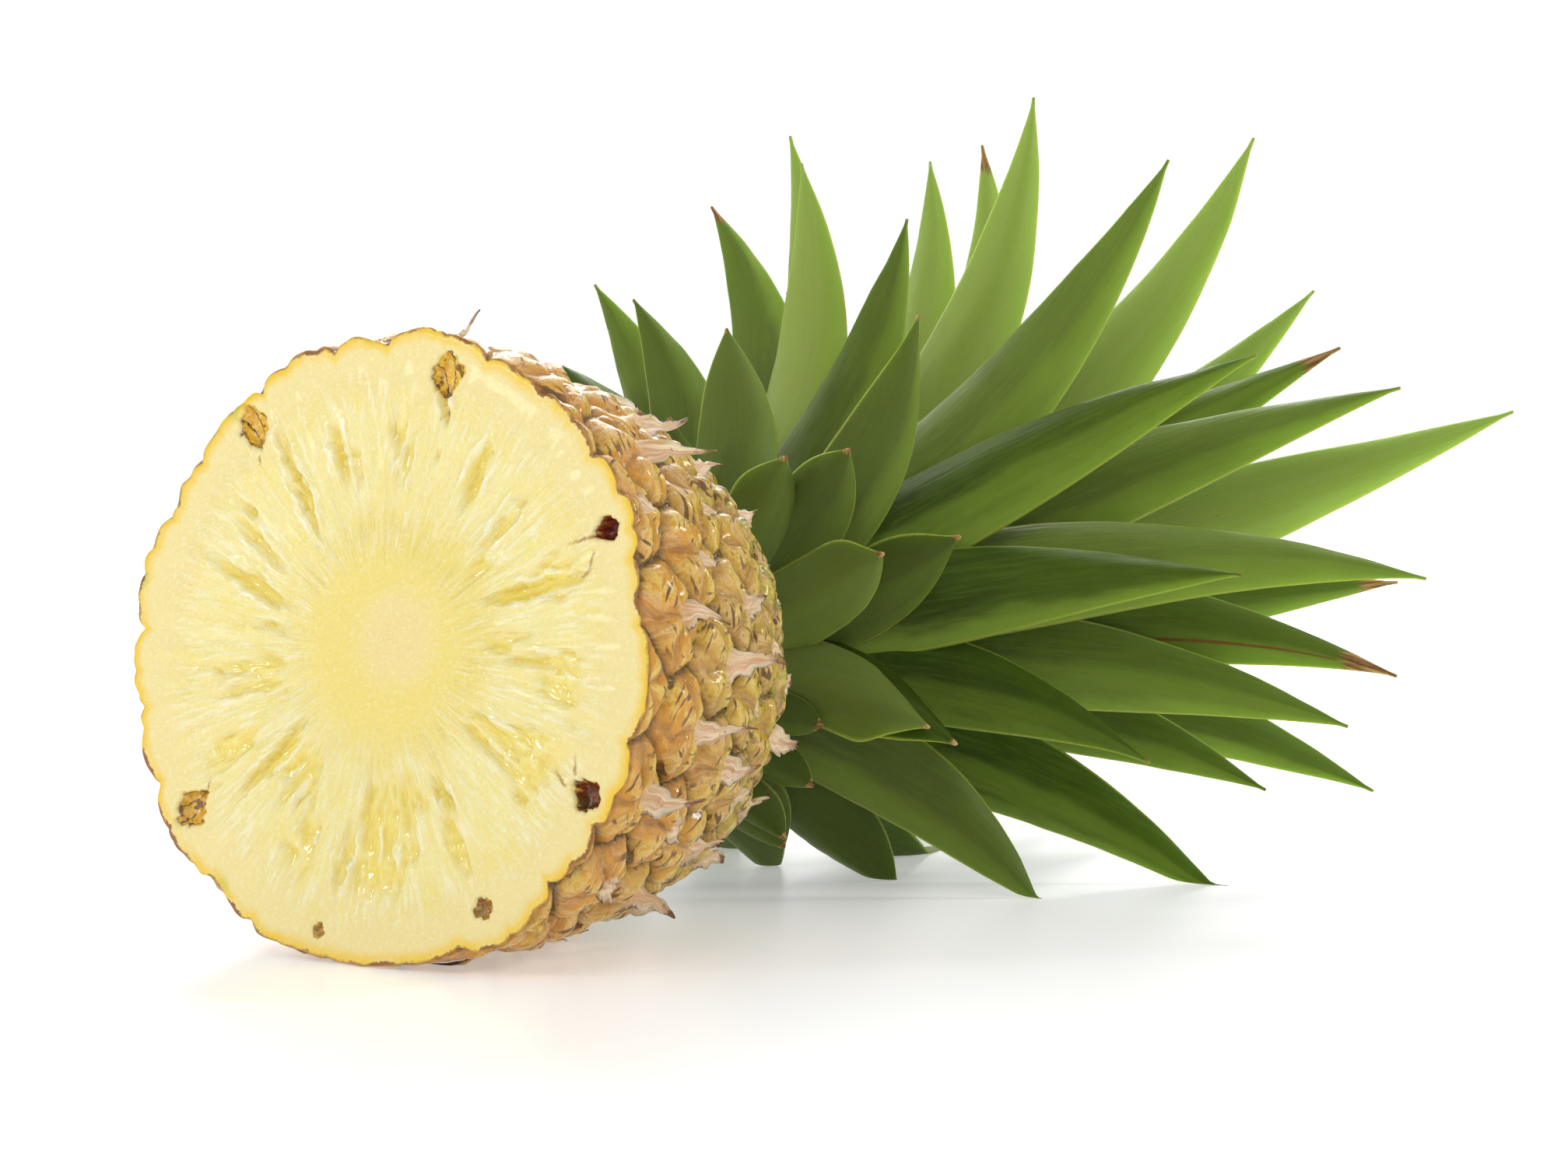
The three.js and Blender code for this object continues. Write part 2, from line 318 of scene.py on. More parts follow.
# %% [markdown]
# ## Where the eyes sit
# Each eye is one flower that swelled into a fruitlet. They sit on a spiral with the golden
# angle between one and the next, which packs them in crossing rows without any gap. A list
# of hexagons could be laid out by hand, but the spiral gives the true pattern by itself, and
# the nearest and second nearest eye of any point tell where the hexagon's borders run.

# %% Eye spiral
EYE_PITCH = 21
SMALLEST_EYE = 0.2
GOLDEN_ANGLE = math.radians(137.508)

eye_area = EYE_PITCH**2 * math.sqrt(3) / 2
rise = eye_area / (2 * math.pi * CUT_RADIUS)
eye_along = []
step_along = -EYE_PITCH
while step_along < HALF_LENGTH - rise:
    eye_along.append(step_along)
    share = max(rind_radius(max(step_along, 0)) / CUT_RADIUS, SMALLEST_EYE)
    step_along += rise * share**2
eye_along = np.array(eye_along)
eye_turn = np.arange(len(eye_along)) * GOLDEN_ANGLE
eye_radius = rind_radius(eye_along)
eye_size = np.maximum(eye_radius, 1) / CUT_RADIUS
eye_walked = np.where(eye_along > 0, np.interp(eye_along, fine_along, walked), eye_along)
eye_luck = np.random.default_rng(5).random(len(eye_along))
print("eyes:", len(eye_along))


def turned(first, second):
    """The shortest turn from second to first, from minus to plus half a turn."""
    return (first - second + math.pi) % (2 * math.pi) - math.pi


def eye_places(turn, along):
    """For each point of the rind: its eye, its place in that eye, and how far the border is.
    up and side go from -0.5 to 0.5 over an eye, up towards the crown."""
    reach = np.interp(along, fine_along, walked)
    radius_here = np.minimum(eye_radius[None, :], rind_radius(along)[:, None])
    side = turned(turn[:, None], eye_turn[None, :]) * radius_here
    up = reach[:, None] - eye_walked[None, :]
    distance = np.hypot(side, up) / (EYE_PITCH * eye_size)
    order = np.argpartition(distance, 1, axis=1)[:, :2]
    rows = np.arange(len(turn))[:, None]
    two = distance[rows, order]
    swap = two[:, 0] > two[:, 1]
    order[swap] = order[swap][:, ::-1]
    two.sort(axis=1)
    nearest = order[:, 0]
    scale = EYE_PITCH * eye_size[nearest]
    rows = rows[:, 0]
    return {
        "eye": nearest,
        "up": up[rows, nearest] / scale,
        "side": side[rows, nearest] / scale,
        "border": two[:, 1] - two[:, 0],
        "middle": two[:, 0],
    }


# %% [markdown]
# ## Noise for shaping
# A shader has noise of its own, but a vertex that is moved in the script needs noise that the
# script can read. This one keeps random values on a square lattice and blends between them.
# Its pattern repeats every 64 steps, so it closes without a seam when 64 steps go round.

# %% Soft noise
LATTICE = 64


def soft_noise(x, y, seed):
    """Smooth values from -1 to 1 over a plane."""
    lattice = np.random.default_rng(seed).uniform(-1, 1, (LATTICE, LATTICE))
    left, low = np.floor(x).astype(int), np.floor(y).astype(int)
    share_x, share_y = smoothstep(x - left, 0, 1), smoothstep(y - low, 0, 1)

    def row(level):
        first = lattice[left % LATTICE, level % LATTICE]
        second = lattice[(left + 1) % LATTICE, level % LATTICE]
        return first + (second - first) * share_x

    return row(low) + (row(low + 1) - row(low)) * share_y


def round_noise(turn, other, cells, seed):
    """Soft noise that closes round the axis. cells is how many lattices make a whole turn."""
    return soft_noise(turn / (2 * math.pi) * LATTICE * cells, other, seed)


print("noise closes after", LATTICE, "steps")


# %% [markdown]
# ## Shape of an eye
# Seen close, an eye is a low swelling with five or six folds that run together to the point
# where its bract leaves it, like cloth gathered at a button. A sculpted copy on each hexagon
# would never meet its neighbours, so the height of the rind is worked out for every point
# from its place in its own eye, and falls to a groove at the border. The folds wander a
# little and no two eyes have them alike. The eyes are pressed flat where the fruit rests.

# %% Height of the rind
EYE_RELIEF, EYE_REACH = 1.5, 12.6     # mm
FLAT_FROM, FLAT_TO = math.radians(12), math.radians(32)
GROOVE_DEPTH, GROOVE_WIDTH = 1.7, 0.15
GATHER_UP = 0.12                      # where the folds run together, up from the eye's middle
FOLD_HEIGHT, FOLD_SHARPNESS = 2.3, 0.7
FOLDS = 2.5                           # folds in half a turn
FOLD_WANDER = 0.6                     # radians
LOWER_LIP = 0.7                       # mm
RIM_CALM, RIM_CALM_REACH = 0.5, 6     # the relief that is left at the cut, and where it is full
FLAT_RELIEF = 0.35                    # what is left of grooves and lumps where the fruit rests


def fold_swing(turn, along, eye):
    """How far the folds are turned about their gathering point, in radians."""
    wander = FOLD_WANDER * round_noise(turn, along / 4.5, cells=1, seed=15)
    return wander + eye_luck[eye] * 2 * math.pi


def folds_of(up, side, swing):
    """0 in the creases between the folds and 1 on top of them."""
    return np.abs(np.sin(FOLDS * np.arctan2(side, GATHER_UP - up) + swing))


def off_the_flat(turn):
    """0 along the line that the fruit rests on and 1 well away from it."""
    return smoothstep(np.abs(turned(turn, math.pi)), FLAT_FROM, FLAT_TO)


def rind_height(turn, along, places):
    """How far the rind stands out beyond its smooth outline, in mm."""
    up, side, eye = places["up"], places["side"], places["eye"]
    dome = EYE_RELIEF * (1 - np.minimum(places["middle"] * EYE_PITCH / EYE_REACH, 1)**2)
    away = np.hypot(side, up - GATHER_UP)
    room = smoothstep(away, 0.02, 0.22) * smoothstep(places["border"], 0.0, 0.3)
    calm = RIM_CALM + (1 - RIM_CALM) * smoothstep(along, 0, RIM_CALM_REACH)
    crests = folds_of(up, side, fold_swing(turn, along, eye))**FOLD_SHARPNESS - 0.45
    folds = calm * FOLD_HEIGHT * room * crests
    lower_lip = LOWER_LIP * smoothstep(up, -0.42, -0.1) * smoothstep(up, 0.2, 0.02)
    at_border = 1 - smoothstep(places["border"], 0, GROOVE_WIDTH)
    groove = -GROOVE_DEPTH * calm * (0.7 + 0.5 * eye_luck[eye]) * at_border
    lumps = 0.35 * round_noise(turn, along / 4, cells=1, seed=11)
    lumps += 0.22 * round_noise(turn, along / 1.8, cells=3, seed=12)
    detail = folds + lower_lip + groove + lumps
    fade = off_the_flat(turn)
    return eye_size[eye] * (fade * (dome + detail) + (1 - fade) * FLAT_RELIEF * (groove + lumps))


print("relief of the rind in mm:", EYE_RELIEF, "domes,", FOLD_HEIGHT, "folds,", GROOVE_DEPTH, "grooves")


# %% [markdown]
# ## Hollows and splits in the cut face
# The knife opened some of the small seed chambers near the rind. Each is a kite-shaped hollow
# with amber walls and dark threads. Further in, the flesh pulled apart in long splits that
# run out from the core. Both are listed as turns and distances from the middle. A separate
# program worked out the turns of the first six chambers and the ends of the first nine splits
# from measured points, and the rest was chosen by hand. All are pressed into the mesh,
# because a painted hollow looks flat from the side.

# %% Hollows and splits
CHAMBERS = [
    # turn in degrees, then distance, length, width and depth in mm, lean in degrees, redness
    (320, 56.6, 9.6, 7.0, 3.4, 12, 0.0),
    (11, 55.8, 9.4, 7.8, 3.4, -14, 0.0),
    (63, 57.2, 6.6, 4.8, 4.6, 0, 1.0),
    (116, 56.2, 7.2, 6.4, 4.6, 10, 0.9),
    (149, 56.0, 4.0, 5.0, 2.2, 0, 0.6),
    (233, 56.2, 9.0, 7.6, 3.4, -10, 0.1),
    (191, 56.6, 3.4, 3.0, 1.6, 8, 0.5),
]
SPLITS = [
    # from turn and distance, to turn and distance, width and depth in mm
    (340, 47.8, 340, 34.4, 2.4, 1.8), (325, 52.0, 320, 25.9, 2.2, 1.8),
    (28, 47.2, 30, 33.0, 3.0, 2.0), (291, 47.4, 287, 24.7, 2.6, 1.7),
    (66, 27.6, 70, 51.4, 2.2, 2.2), (231, 23.5, 227, 45.9, 2.2, 1.9),
    (206, 37.1, 201, 43.8, 2.4, 1.6), (148, 28.3, 146, 36.9, 2.0, 1.5),
    (114, 25.2, 119, 44.3, 2.0, 1.5), (11, 53.0, 14, 46.8, 1.3, 1.8),
    (171, 30.0, 174, 46.0, 2.2, 1.5), (257, 27.0, 254, 44.0, 1.6, 1.1),
    (88, 33.0, 92, 50.0, 1.6, 1.1), (300, 30.0, 303, 49.0, 1.8, 1.3),
    (2, 33.0, 5, 45.0, 1.6, 1.1), (48, 29.0, 44, 46.0, 1.8, 1.2),
    (214, 28.0, 217, 40.0, 1.8, 1.2), (187, 34.0, 189, 51.0, 2.0, 1.2),
]
KITE = 1.5                    # 1 makes a chamber a sharp kite, 2 an oval
RAGGEDNESS = 0.17             # of a chamber's outline
SPLIT_OPENING, LIP_HEIGHT = 0.6, 0.65


def face_point(turn, distance):
    return np.array([distance * math.cos(turn), distance * math.sin(turn)])


def chamber_places(face):
    """For each point of the face: how far inside a chamber it is, from 0 to 1, how deep it
    lies there in mm, its place out from the core and aside in the chamber, and the redness."""
    inside, deep, red = np.zeros(len(face)), np.zeros(len(face)), np.zeros(len(face))
    place = np.zeros((len(face), 2))
    ragged = RAGGEDNESS * soft_noise(face[:, 0] * 1.1, face[:, 1] * 1.1, 23)
    for degrees, distance, length, width, depth, lean, redness in CHAMBERS:
        away = face - face_point(math.radians(degrees), distance)
        out_turn = math.radians(degrees + lean)
        out = away @ face_point(out_turn, 1) / (length / 2)
        aside = away @ face_point(out_turn + math.pi / 2, 1) / (width / 2)
        narrow = 1 + 0.45 * np.maximum(-out, 0)
        reach = (np.abs(out)**KITE + np.abs(aside * narrow)**KITE)**(1 / KITE) + ragged
        here = smoothstep(reach, 1.1, 0.78)
        take = here > inside
        inside[take] = here[take]
        red[take] = redness
        place[take] = np.stack([out, aside], 1)[take]
        deep[take] = depth * here[take] * (0.7 + 0.3 * np.clip(1 - reach[take], 0, 1))
    return inside, deep, place, red


def split_depth(face, turn, distance):
    """How deep the splits cut at each point of the face, and the lips that stand beside them."""
    wander = 0.9 * round_noise(turn, distance / 2.2, cells=2, seed=21)
    wander += 0.6 * round_noise(turn, distance / 0.9, cells=5, seed=22)
    bumpy = round_noise(turn, distance / 1.7, cells=4, seed=24)
    cut = np.zeros(len(face))
    lips = np.zeros(len(face))
    for from_turn, from_reach, to_turn, to_reach, width, depth in SPLITS:
        start = face_point(math.radians(from_turn), from_reach)
        line = face_point(math.radians(to_turn), to_reach) - start
        share = np.clip((face - start) @ line / (line @ line), 0, 1)
        beside = np.abs(np.linalg.norm(face - start - share[:, None] * line, axis=1) + wander * 0.7)
        taper = np.sin(math.pi * (0.12 + 0.82 * share))
        half = SPLIT_OPENING * width * taper
        cut = np.maximum(cut, depth * taper * smoothstep(beside, half + 0.5, half * 0.35))
        ridge = np.exp(-((beside - half - 1.1) / 0.7)**2) * (0.75 + 0.5 * bumpy)
        lips = np.maximum(lips, LIP_HEIGHT * taper * ridge)
    return cut, lips


def juice_pits(turn, distance):
    """Shallow irregular hollows between the fibres, where juice cells were cut open."""
    band = smoothstep(distance, 21, 29) * smoothstep(distance, 53, 44)
    long_cells = round_noise(turn, distance / 14, cells=0.75, seed=41)
    long_cells += 0.35 * round_noise(turn, distance / 4, cells=2, seed=42)
    wrinkles = 0.25 * round_noise(turn, distance / 1.6, cells=4, seed=43)
    return band * smoothstep(long_cells, 0.18, 0.5) * (1.1 + 2 * wrinkles)


print("chambers:", len(CHAMBERS), "splits:", len(SPLITS))

# %% [markdown]
# ## One closed skin for the fruit
# The fruit is one body, so it is one closed mesh: a disc of rings for the cut face, joined at
# the rim to rows of points that climb the rind to the stem. A subdivided cylinder with a
# Displace modifier could be used too, but would waste points where the face is smooth. Here
# the columns stand closer together where there is a chamber, so that the hollows get enough.
# Each point also carries what its material needs to know about its place.

# %% Fruit mesh
COLUMNS, FINE_TURNS = 560, 7200
# Rings in mm from the middle, closer from the core outwards, and rows in mm from the cut.
face_rings = np.concatenate([
    np.linspace(2.5, 13, 6), np.linspace(15, 40, 22), np.linspace(40.8, 60.6, 28),
])
rind_rows = np.concatenate([np.linspace(0.35, 88, 92), np.linspace(90, walked[-1] * 0.985, 12)])
CROWDING, CROWD_REACH = 1.3, math.radians(5)
RIM_POWER = 6                          # how late the rings take on the rim's scallops
RIM_ROUNDING, RIM_SETBACK = 0.05, 0.25     # mm along and inwards, where face and rind meet
FLOOR_GAP = 0.02                       # mm


def crowded_turns():
    """Turns of the columns, about twice as close beside each chamber."""
    fine = np.linspace(0, 2 * math.pi, FINE_TURNS, endpoint=False)
    density = np.ones(len(fine))
    for degrees, *_ in CHAMBERS:
        density += CROWDING * np.exp(-(turned(fine, math.radians(degrees)) / CROWD_REACH)**2)
    total = np.concatenate([[0], np.cumsum(density)])
    wanted = np.linspace(0, total[-1], COLUMNS, endpoint=False)
    return np.interp(wanted, total, np.concatenate([fine, [2 * math.pi]]))


def tube_faces(rows, around):
    """Four-sided faces between rows of points, where each row closes into a ring. They face
    outwards where the turn goes from up to across and the next row is further along."""
    row = np.arange(rows - 1)[:, None] * around
    here, after = np.arange(around), (np.arange(around) + 1) % around
    corners = [row + here, row + after, row + around + after, row + around + here]
    return np.stack(corners, 2).reshape(-1, 4)


turns = crowded_turns()
at_cut = np.zeros(COLUMNS)
rim_places = eye_places(turns, at_cut)
rim_radius = CUT_RADIUS + rind_height(turns, at_cut, rim_places)

# The face, from its middle outwards. Its rings turn from circles into the scalloped rim.
face_turn = np.tile(turns, len(face_rings))
face_share = np.repeat(face_rings / CUT_RADIUS, COLUMNS)
rim_here = np.tile(rim_radius, len(face_rings))
face_radius = face_share * (CUT_RADIUS + (rim_here - CUT_RADIUS) * face_share**RIM_POWER)
face = np.stack([face_radius * np.cos(face_turn), face_radius * np.sin(face_turn)], 1)
in_chamber, chamber_depth, chamber_place, chamber_red = chamber_places(face)
cut, lips = split_depth(face, face_turn, face_radius)
cut = np.maximum(cut, juice_pits(face_turn, face_radius))
calm = smoothstep(face_radius, 12, 24) * smoothstep(face_radius, 61, 52)
fibres = 0.2 * round_noise(face_turn, face_radius / 11, cells=2, seed=31)
fibres += 0.12 * round_noise(face_turn, face_radius / 7, cells=4, seed=32)
swells = 0.35 * round_noise(face_turn, face_radius / 7, cells=0.25, seed=33)
face_depth = np.maximum(chamber_depth, cut) - lips + calm * (fibres + swells)
face_depth += 0.05 * round_noise(face_turn, face_radius / 3, cells=1, seed=34)
face_points = on_fruit(face_turn, face_depth, face_radius)

# The rim itself, and the rind from the rim to the stem.
rim_points = on_fruit(turns, np.full(COLUMNS, RIM_ROUNDING), rim_radius - RIM_SETBACK)
rind_turn = np.tile(turns, len(rind_rows))
rind_along = np.repeat(np.interp(rind_rows, walked, fine_along), COLUMNS)
places = eye_places(rind_turn, rind_along)
rind_out = rind_radius(rind_along) + rind_height(rind_turn, rind_along, places)
rind_points = on_fruit(rind_turn, rind_along, rind_out)

middle_point = on_fruit(np.zeros(1), np.zeros(1), np.zeros(1))
top_point = on_fruit(np.zeros(1), np.full(1, HALF_LENGTH), np.zeros(1))
points = np.concatenate([face_points, rim_points, rind_points, middle_point, top_point])
points[:, 2] = np.maximum(points[:, 2], FLOOR_GAP)

ring_count = len(face_rings) + 1 + len(rind_rows)
quads = tube_faces(ring_count, COLUMNS)
columns = np.arange(COLUMNS)
following = (columns + 1) % COLUMNS
last = (ring_count - 1) * COLUMNS
middle, top = len(points) - 2, len(points) - 1
fans = [(middle, int(b), int(a)) for a, b in zip(columns, following)]
fans += [(top, int(a), int(b)) for a, b in zip(last + columns, last + following)]
print("fruit points:", len(points), "triangles:", 2 * len(quads) + len(fans))

# %% [markdown]
# The mesh is made from those lists. `put` stores one value for each point under a name that
# the materials read back. The faces' order decides which side is the outside, so the volume
# is worked out too: it has to be above zero.

# %% Fruit object
def put(mesh, name, values, kind="FLOAT"):
    """Stores values for the points of a mesh, to be read by its material."""
    made = mesh.attributes.new(name, kind, "POINT")
    field = "vector" if kind == "FLOAT_VECTOR" else "value"
    made.data.foreach_set(field, np.asarray(values, np.float32).ravel())


def new_piece(name, mesh):
    piece = bpy.data.objects.new(name, mesh)
    bpy.context.scene.collection.objects.link(piece)
    return piece


def volume_of(mesh):
    """Volume in cubic centimetres. It is negative where the faces point inwards."""
    mesh.calc_loop_triangles()
    corners = np.zeros(len(mesh.vertices) * 3)
    mesh.vertices.foreach_get("co", corners)
    faces = np.zeros(len(mesh.loop_triangles) * 3, np.int32)
    mesh.loop_triangles.foreach_get("vertices", faces)
    a, b, c = corners.reshape(-1, 3)[faces.reshape(-1, 3)].transpose(1, 0, 2)
    return np.einsum("ij,ij->i", a, np.cross(b, c)).sum() / 6 * 1e6


fruit_mesh = bpy.data.meshes.new("fruit_skin")
fruit_mesh.from_pydata((points * MM).tolist(), [], quads.tolist() + fans)
fruit_mesh.shade_smooth()
local = (points - cut_centre) @ np.stack([fruit_up, across, fruit_axis], 1)
put(fruit_mesh, "cut_place", local, "FLOAT_VECTOR")

nothing_on_face, nothing_on_rim = np.zeros(len(face_points)), np.zeros(COLUMNS)
nothing_on_rind = np.zeros(len(rind_points))
face_marks = {
    "chamber": in_chamber, "chamber_out": chamber_place[:, 0],
    "chamber_aside": chamber_place[:, 1], "chamber_red": chamber_red,
    "split": cut, "lips": lips, "rim_gap": rim_here - face_radius,
}
for name, values in face_marks.items():
    ends = (CUT_RADIUS if name == "rim_gap" else 0, 0)
    put(fruit_mesh, name, np.concatenate([values, nothing_on_rim, nothing_on_rind, ends]))
rind_marks = {"eye_" + name: (rim_places[name], places[name]) for name in ("up", "side", "border")}
rind_marks["eye_luck"] = (eye_luck[rim_places["eye"]], eye_luck[places["eye"]])
rind_marks["eye_swing"] = (
    fold_swing(turns, at_cut, rim_places["eye"]),
    fold_swing(rind_turn, rind_along, places["eye"]),
)
for name, (on_rim, on_rind) in rind_marks.items():
    put(fruit_mesh, name, np.concatenate([nothing_on_face, on_rim, on_rind, (0, 0)]))

fruit = new_piece("fruit_flesh_and_rind", fruit_mesh)
print("fruit volume in cm3:", round(volume_of(fruit_mesh), 1))

# %% [markdown]
# ## Wet flesh
# Cut flesh is soft, wet and partly clear: light goes in and comes out a little further on.
# Subsurface scattering does that, and a film of juice gives small sharp highlights. The
# colour follows how a pineapple is built: a pale core, then pale fibres fanning outwards
# between deeper yellow juice cells, then a smoother cream band, and a yellow line at the
# rim. The fibres come from noise that is read along the turn, so that it fans out by itself.

# %% Patterns of the flesh
CORE_OFFSET = face_point(math.radians(48), 4.3)      # the core grew a little off the middle
FIBRES_ROUND, FINE_FIBRES_ROUND = 15.0, 46.0
BROWN_VEINS = [
    # from turn and distance, to turn and distance, width in mm
    (63, 54.2, 61.5, 46.6, 0.5), (66, 53.4, 70.5, 50.6, 0.45), (70, 48.6, 69.2, 53.0, 0.5),
    (114, 52.2, 109, 50.2, 0.5), (117, 51.6, 115.5, 46.4, 0.45), (12.5, 50.6, 15.5, 45.6, 0.7),
    (318, 51.0, 316, 48.6, 0.4), (234, 51.0, 236, 48.8, 0.4),
]


def fanned(direction, distance, around, outward, detail, roughness):
    """Noise drawn out into fibres that run straight away from the middle."""
    outward = join_parts(direction.tree, 0.0, 0.0, distance * outward)
    return noise(direction.scaled(around).vector("ADD", outward), 1.0, detail, roughness)


def along_stroke(tree, x, y, grain, from_turn, from_reach, to_turn, to_reach, width):
    """1 on a thin wandering line across the face, and 0 beside it."""
    start = face_point(math.radians(from_turn), from_reach)
    line = face_point(math.radians(to_turn), to_reach) - start
    length = float(np.linalg.norm(line))
    way_x, way_y = float(line[0]) / length, float(line[1]) / length
    from_x, from_y = x - float(start[0]), y - float(start[1])
    ahead = from_x * way_x + from_y * way_y
    beside = from_y * way_x - from_x * way_y + (grain - 0.5) * 1.6
    ends = ahead.between(-0.5, 0.6) * ahead.between(length, length * 0.3)
    return beside.math("ABSOLUTE").between(width, width * 0.2) * ends


def chamber_wall(tree, place, grain, clouds):
    """Where the chambers are, and their amber or blood-red walls with spreading threads."""
    chamber, red = carried(tree, "chamber"), carried(tree, "chamber_red")
    out, aside = carried(tree, "chamber_out"), carried(tree, "chamber_aside")
    ray = aside / (out + 1.35) + (grain - 0.5) * 0.22
    threads = (ray * 8.5).math("SINE").math("ABSOLUTE").between(0.26, 0.08)
    amber = mixed(grain.between(0.35, 0.65), "#efb01c", "#ffdf58")
    amber = mixed((out + (grain - 0.5)).between(-0.3, -0.95) * 0.8, amber, "#8a4218")
    blood = mixed(grain.between(0.4, 0.62), "#6b1c0c", "#b4481c")
    blood = mixed(aside.between(0.1, 0.7), blood, "#3a0f0a")
    spots = noise(place, 0.45, 1.0).between(0.6, 0.66)
    outline = (chamber + (grain - 0.5) * 0.6).between(0.5, 0.3)
    wall = coated(
        mixed(red, amber, blood),
        (spots * 0.8, "#5a2a12"),
        (threads * (1.0 - red * 0.7), "#3a1a0e"),
        (outline * clouds.between(0.65, 0.35, 0.1, 0.9), "#7a4a20"),
    )
    return chamber, wall


print("brown veins:", len(BROWN_VEINS))

# %% [markdown]
# The flesh is then coated from the core outwards: each line below is one coat, with where it
# lies and its colour. Distances are in millimetres. The highlights of juice lie in the
# hollows and chambers, so the clear coat is strongest there.

# %% Flesh material
def flesh_material():
    material, tree, shader = new_material("wet_flesh")
    place = carried(tree, "cut_place", "Vector")
    x, y, _ = place.parts()
    distance = join_parts(tree, x, y, 0.0).vector("LENGTH", output="Value")
    direction = join_parts(tree, x, y, 0.0).vector("NORMALIZE")
    streaks = fanned(direction, distance, FIBRES_ROUND, 0.07, 4.0, 0.55)
    threads = fanned(direction, distance, FINE_FIBRES_ROUND, 0.16, 3.0, 0.6)
    grain = noise(place, 1.1, 4.0, 0.65)
    clouds = noise(place, 0.11, 3.0, 0.5)

    from_core = join_parts(tree, x - float(CORE_OFFSET[0]), y - float(CORE_OFFSET[1]), 0.0)
    core_distance = from_core.vector("LENGTH", output="Value") + clouds * 5.0
    core_ring = core_distance.between(8, 16) * core_distance.between(32, 20)
    fibrous = distance.between(13, 24) * distance.between(57, 50)
    white_fibres = threads.between(0.5, 0.6) * clouds.between(0.62, 0.35, 0.35, 0.8)
    split, lips = carried(tree, "split"), carried(tree, "lips")
    hollow = (split + (streaks - 0.5) * 0.8).between(0.2, 1.5)
    lip_light = (lips + (threads - 0.5) * 0.5).between(0.15, 0.5)

    rim_gap = carried(tree, "rim_gap") + (clouds - 0.5) * 4.0
    rim_yellow = rim_gap.between(3.6, 1.0) * clouds.between(0.3, 0.6, 0.25, 0.95)
    rim_green = noise(place, 0.07, 2.0, 0.5, stretch=(1.0, 1.0, 0.0)).between(0.6, 0.68)
    rim_brown = (rim_gap + (grain - 0.5) * 2.0).between(0.7, 0.2) * clouds.between(0.62, 0.4)
    chamber, wall = chamber_wall(tree, place, grain, clouds)
    veins = [along_stroke(tree, x, y, grain, *vein) * 0.75 for vein in BROWN_VEINS]
    body = coated(
        mixed(core_distance.between(7, 20), "#f1dc94", "#f5e69c"),
        (core_ring * 0.75, "#efd96c"),                          # a deeper ring round the core
        (distance.between(42, 55), "#f2e19b"),                  # the cream band outside
        (fibrous * streaks.between(0.48, 0.68) * 0.34, "#f2e064"),      # juicy streaks
        (clouds.between(0.5, 0.72) * fibrous * 0.3, "#f2dc48"),         # riper patches
        (fibrous * white_fibres * 0.8, "#fbf5cf"),
        (grain.between(0.52, 0.7) * 0.35, "#fbf6d4"),                   # fine pale grain
        (hollow * 0.66, "#f8db38"),                             # juice in splits and pits
        (lip_light * 0.6, "#fdf8da"),
        *((vein, "#a4702a") for vein in veins),
        (rim_yellow, "#f3cb28"),
        (rim_gap.between(4.0, 0.5) * rim_green * 0.7, "#b9c94e"),
        (rim_brown, "#94601f"),
        (chamber.between(0.1, 0.32), wall),
    )
    bumps = streaks * fibrous * 0.9 + threads * fibrous * 0.8 + grain * 0.5
    dress(tree, shader, {
        "Base Color": body,
        "Normal": relief(bumps, 1.0 * MM, 0.6),
        "Roughness": grain.between(0.35, 0.7, 0.1, 0.34),
        "Specular IOR Level": 0.5,
        "Coat Weight": (hollow + lips + chamber).between(0.0, 0.6, 0.1, 0.8),
        "Coat Roughness": 0.06,
        "Subsurface Weight": (hollow + chamber).between(0.0, 1.0, 0.18, 0.6),
        "Subsurface Radius": (1.0, 0.7, 0.22),
        "Subsurface Scale": 1.8 * MM,
    })
    return material


flesh = flesh_material()
print("flesh nodes:", len(flesh.node_tree.nodes))
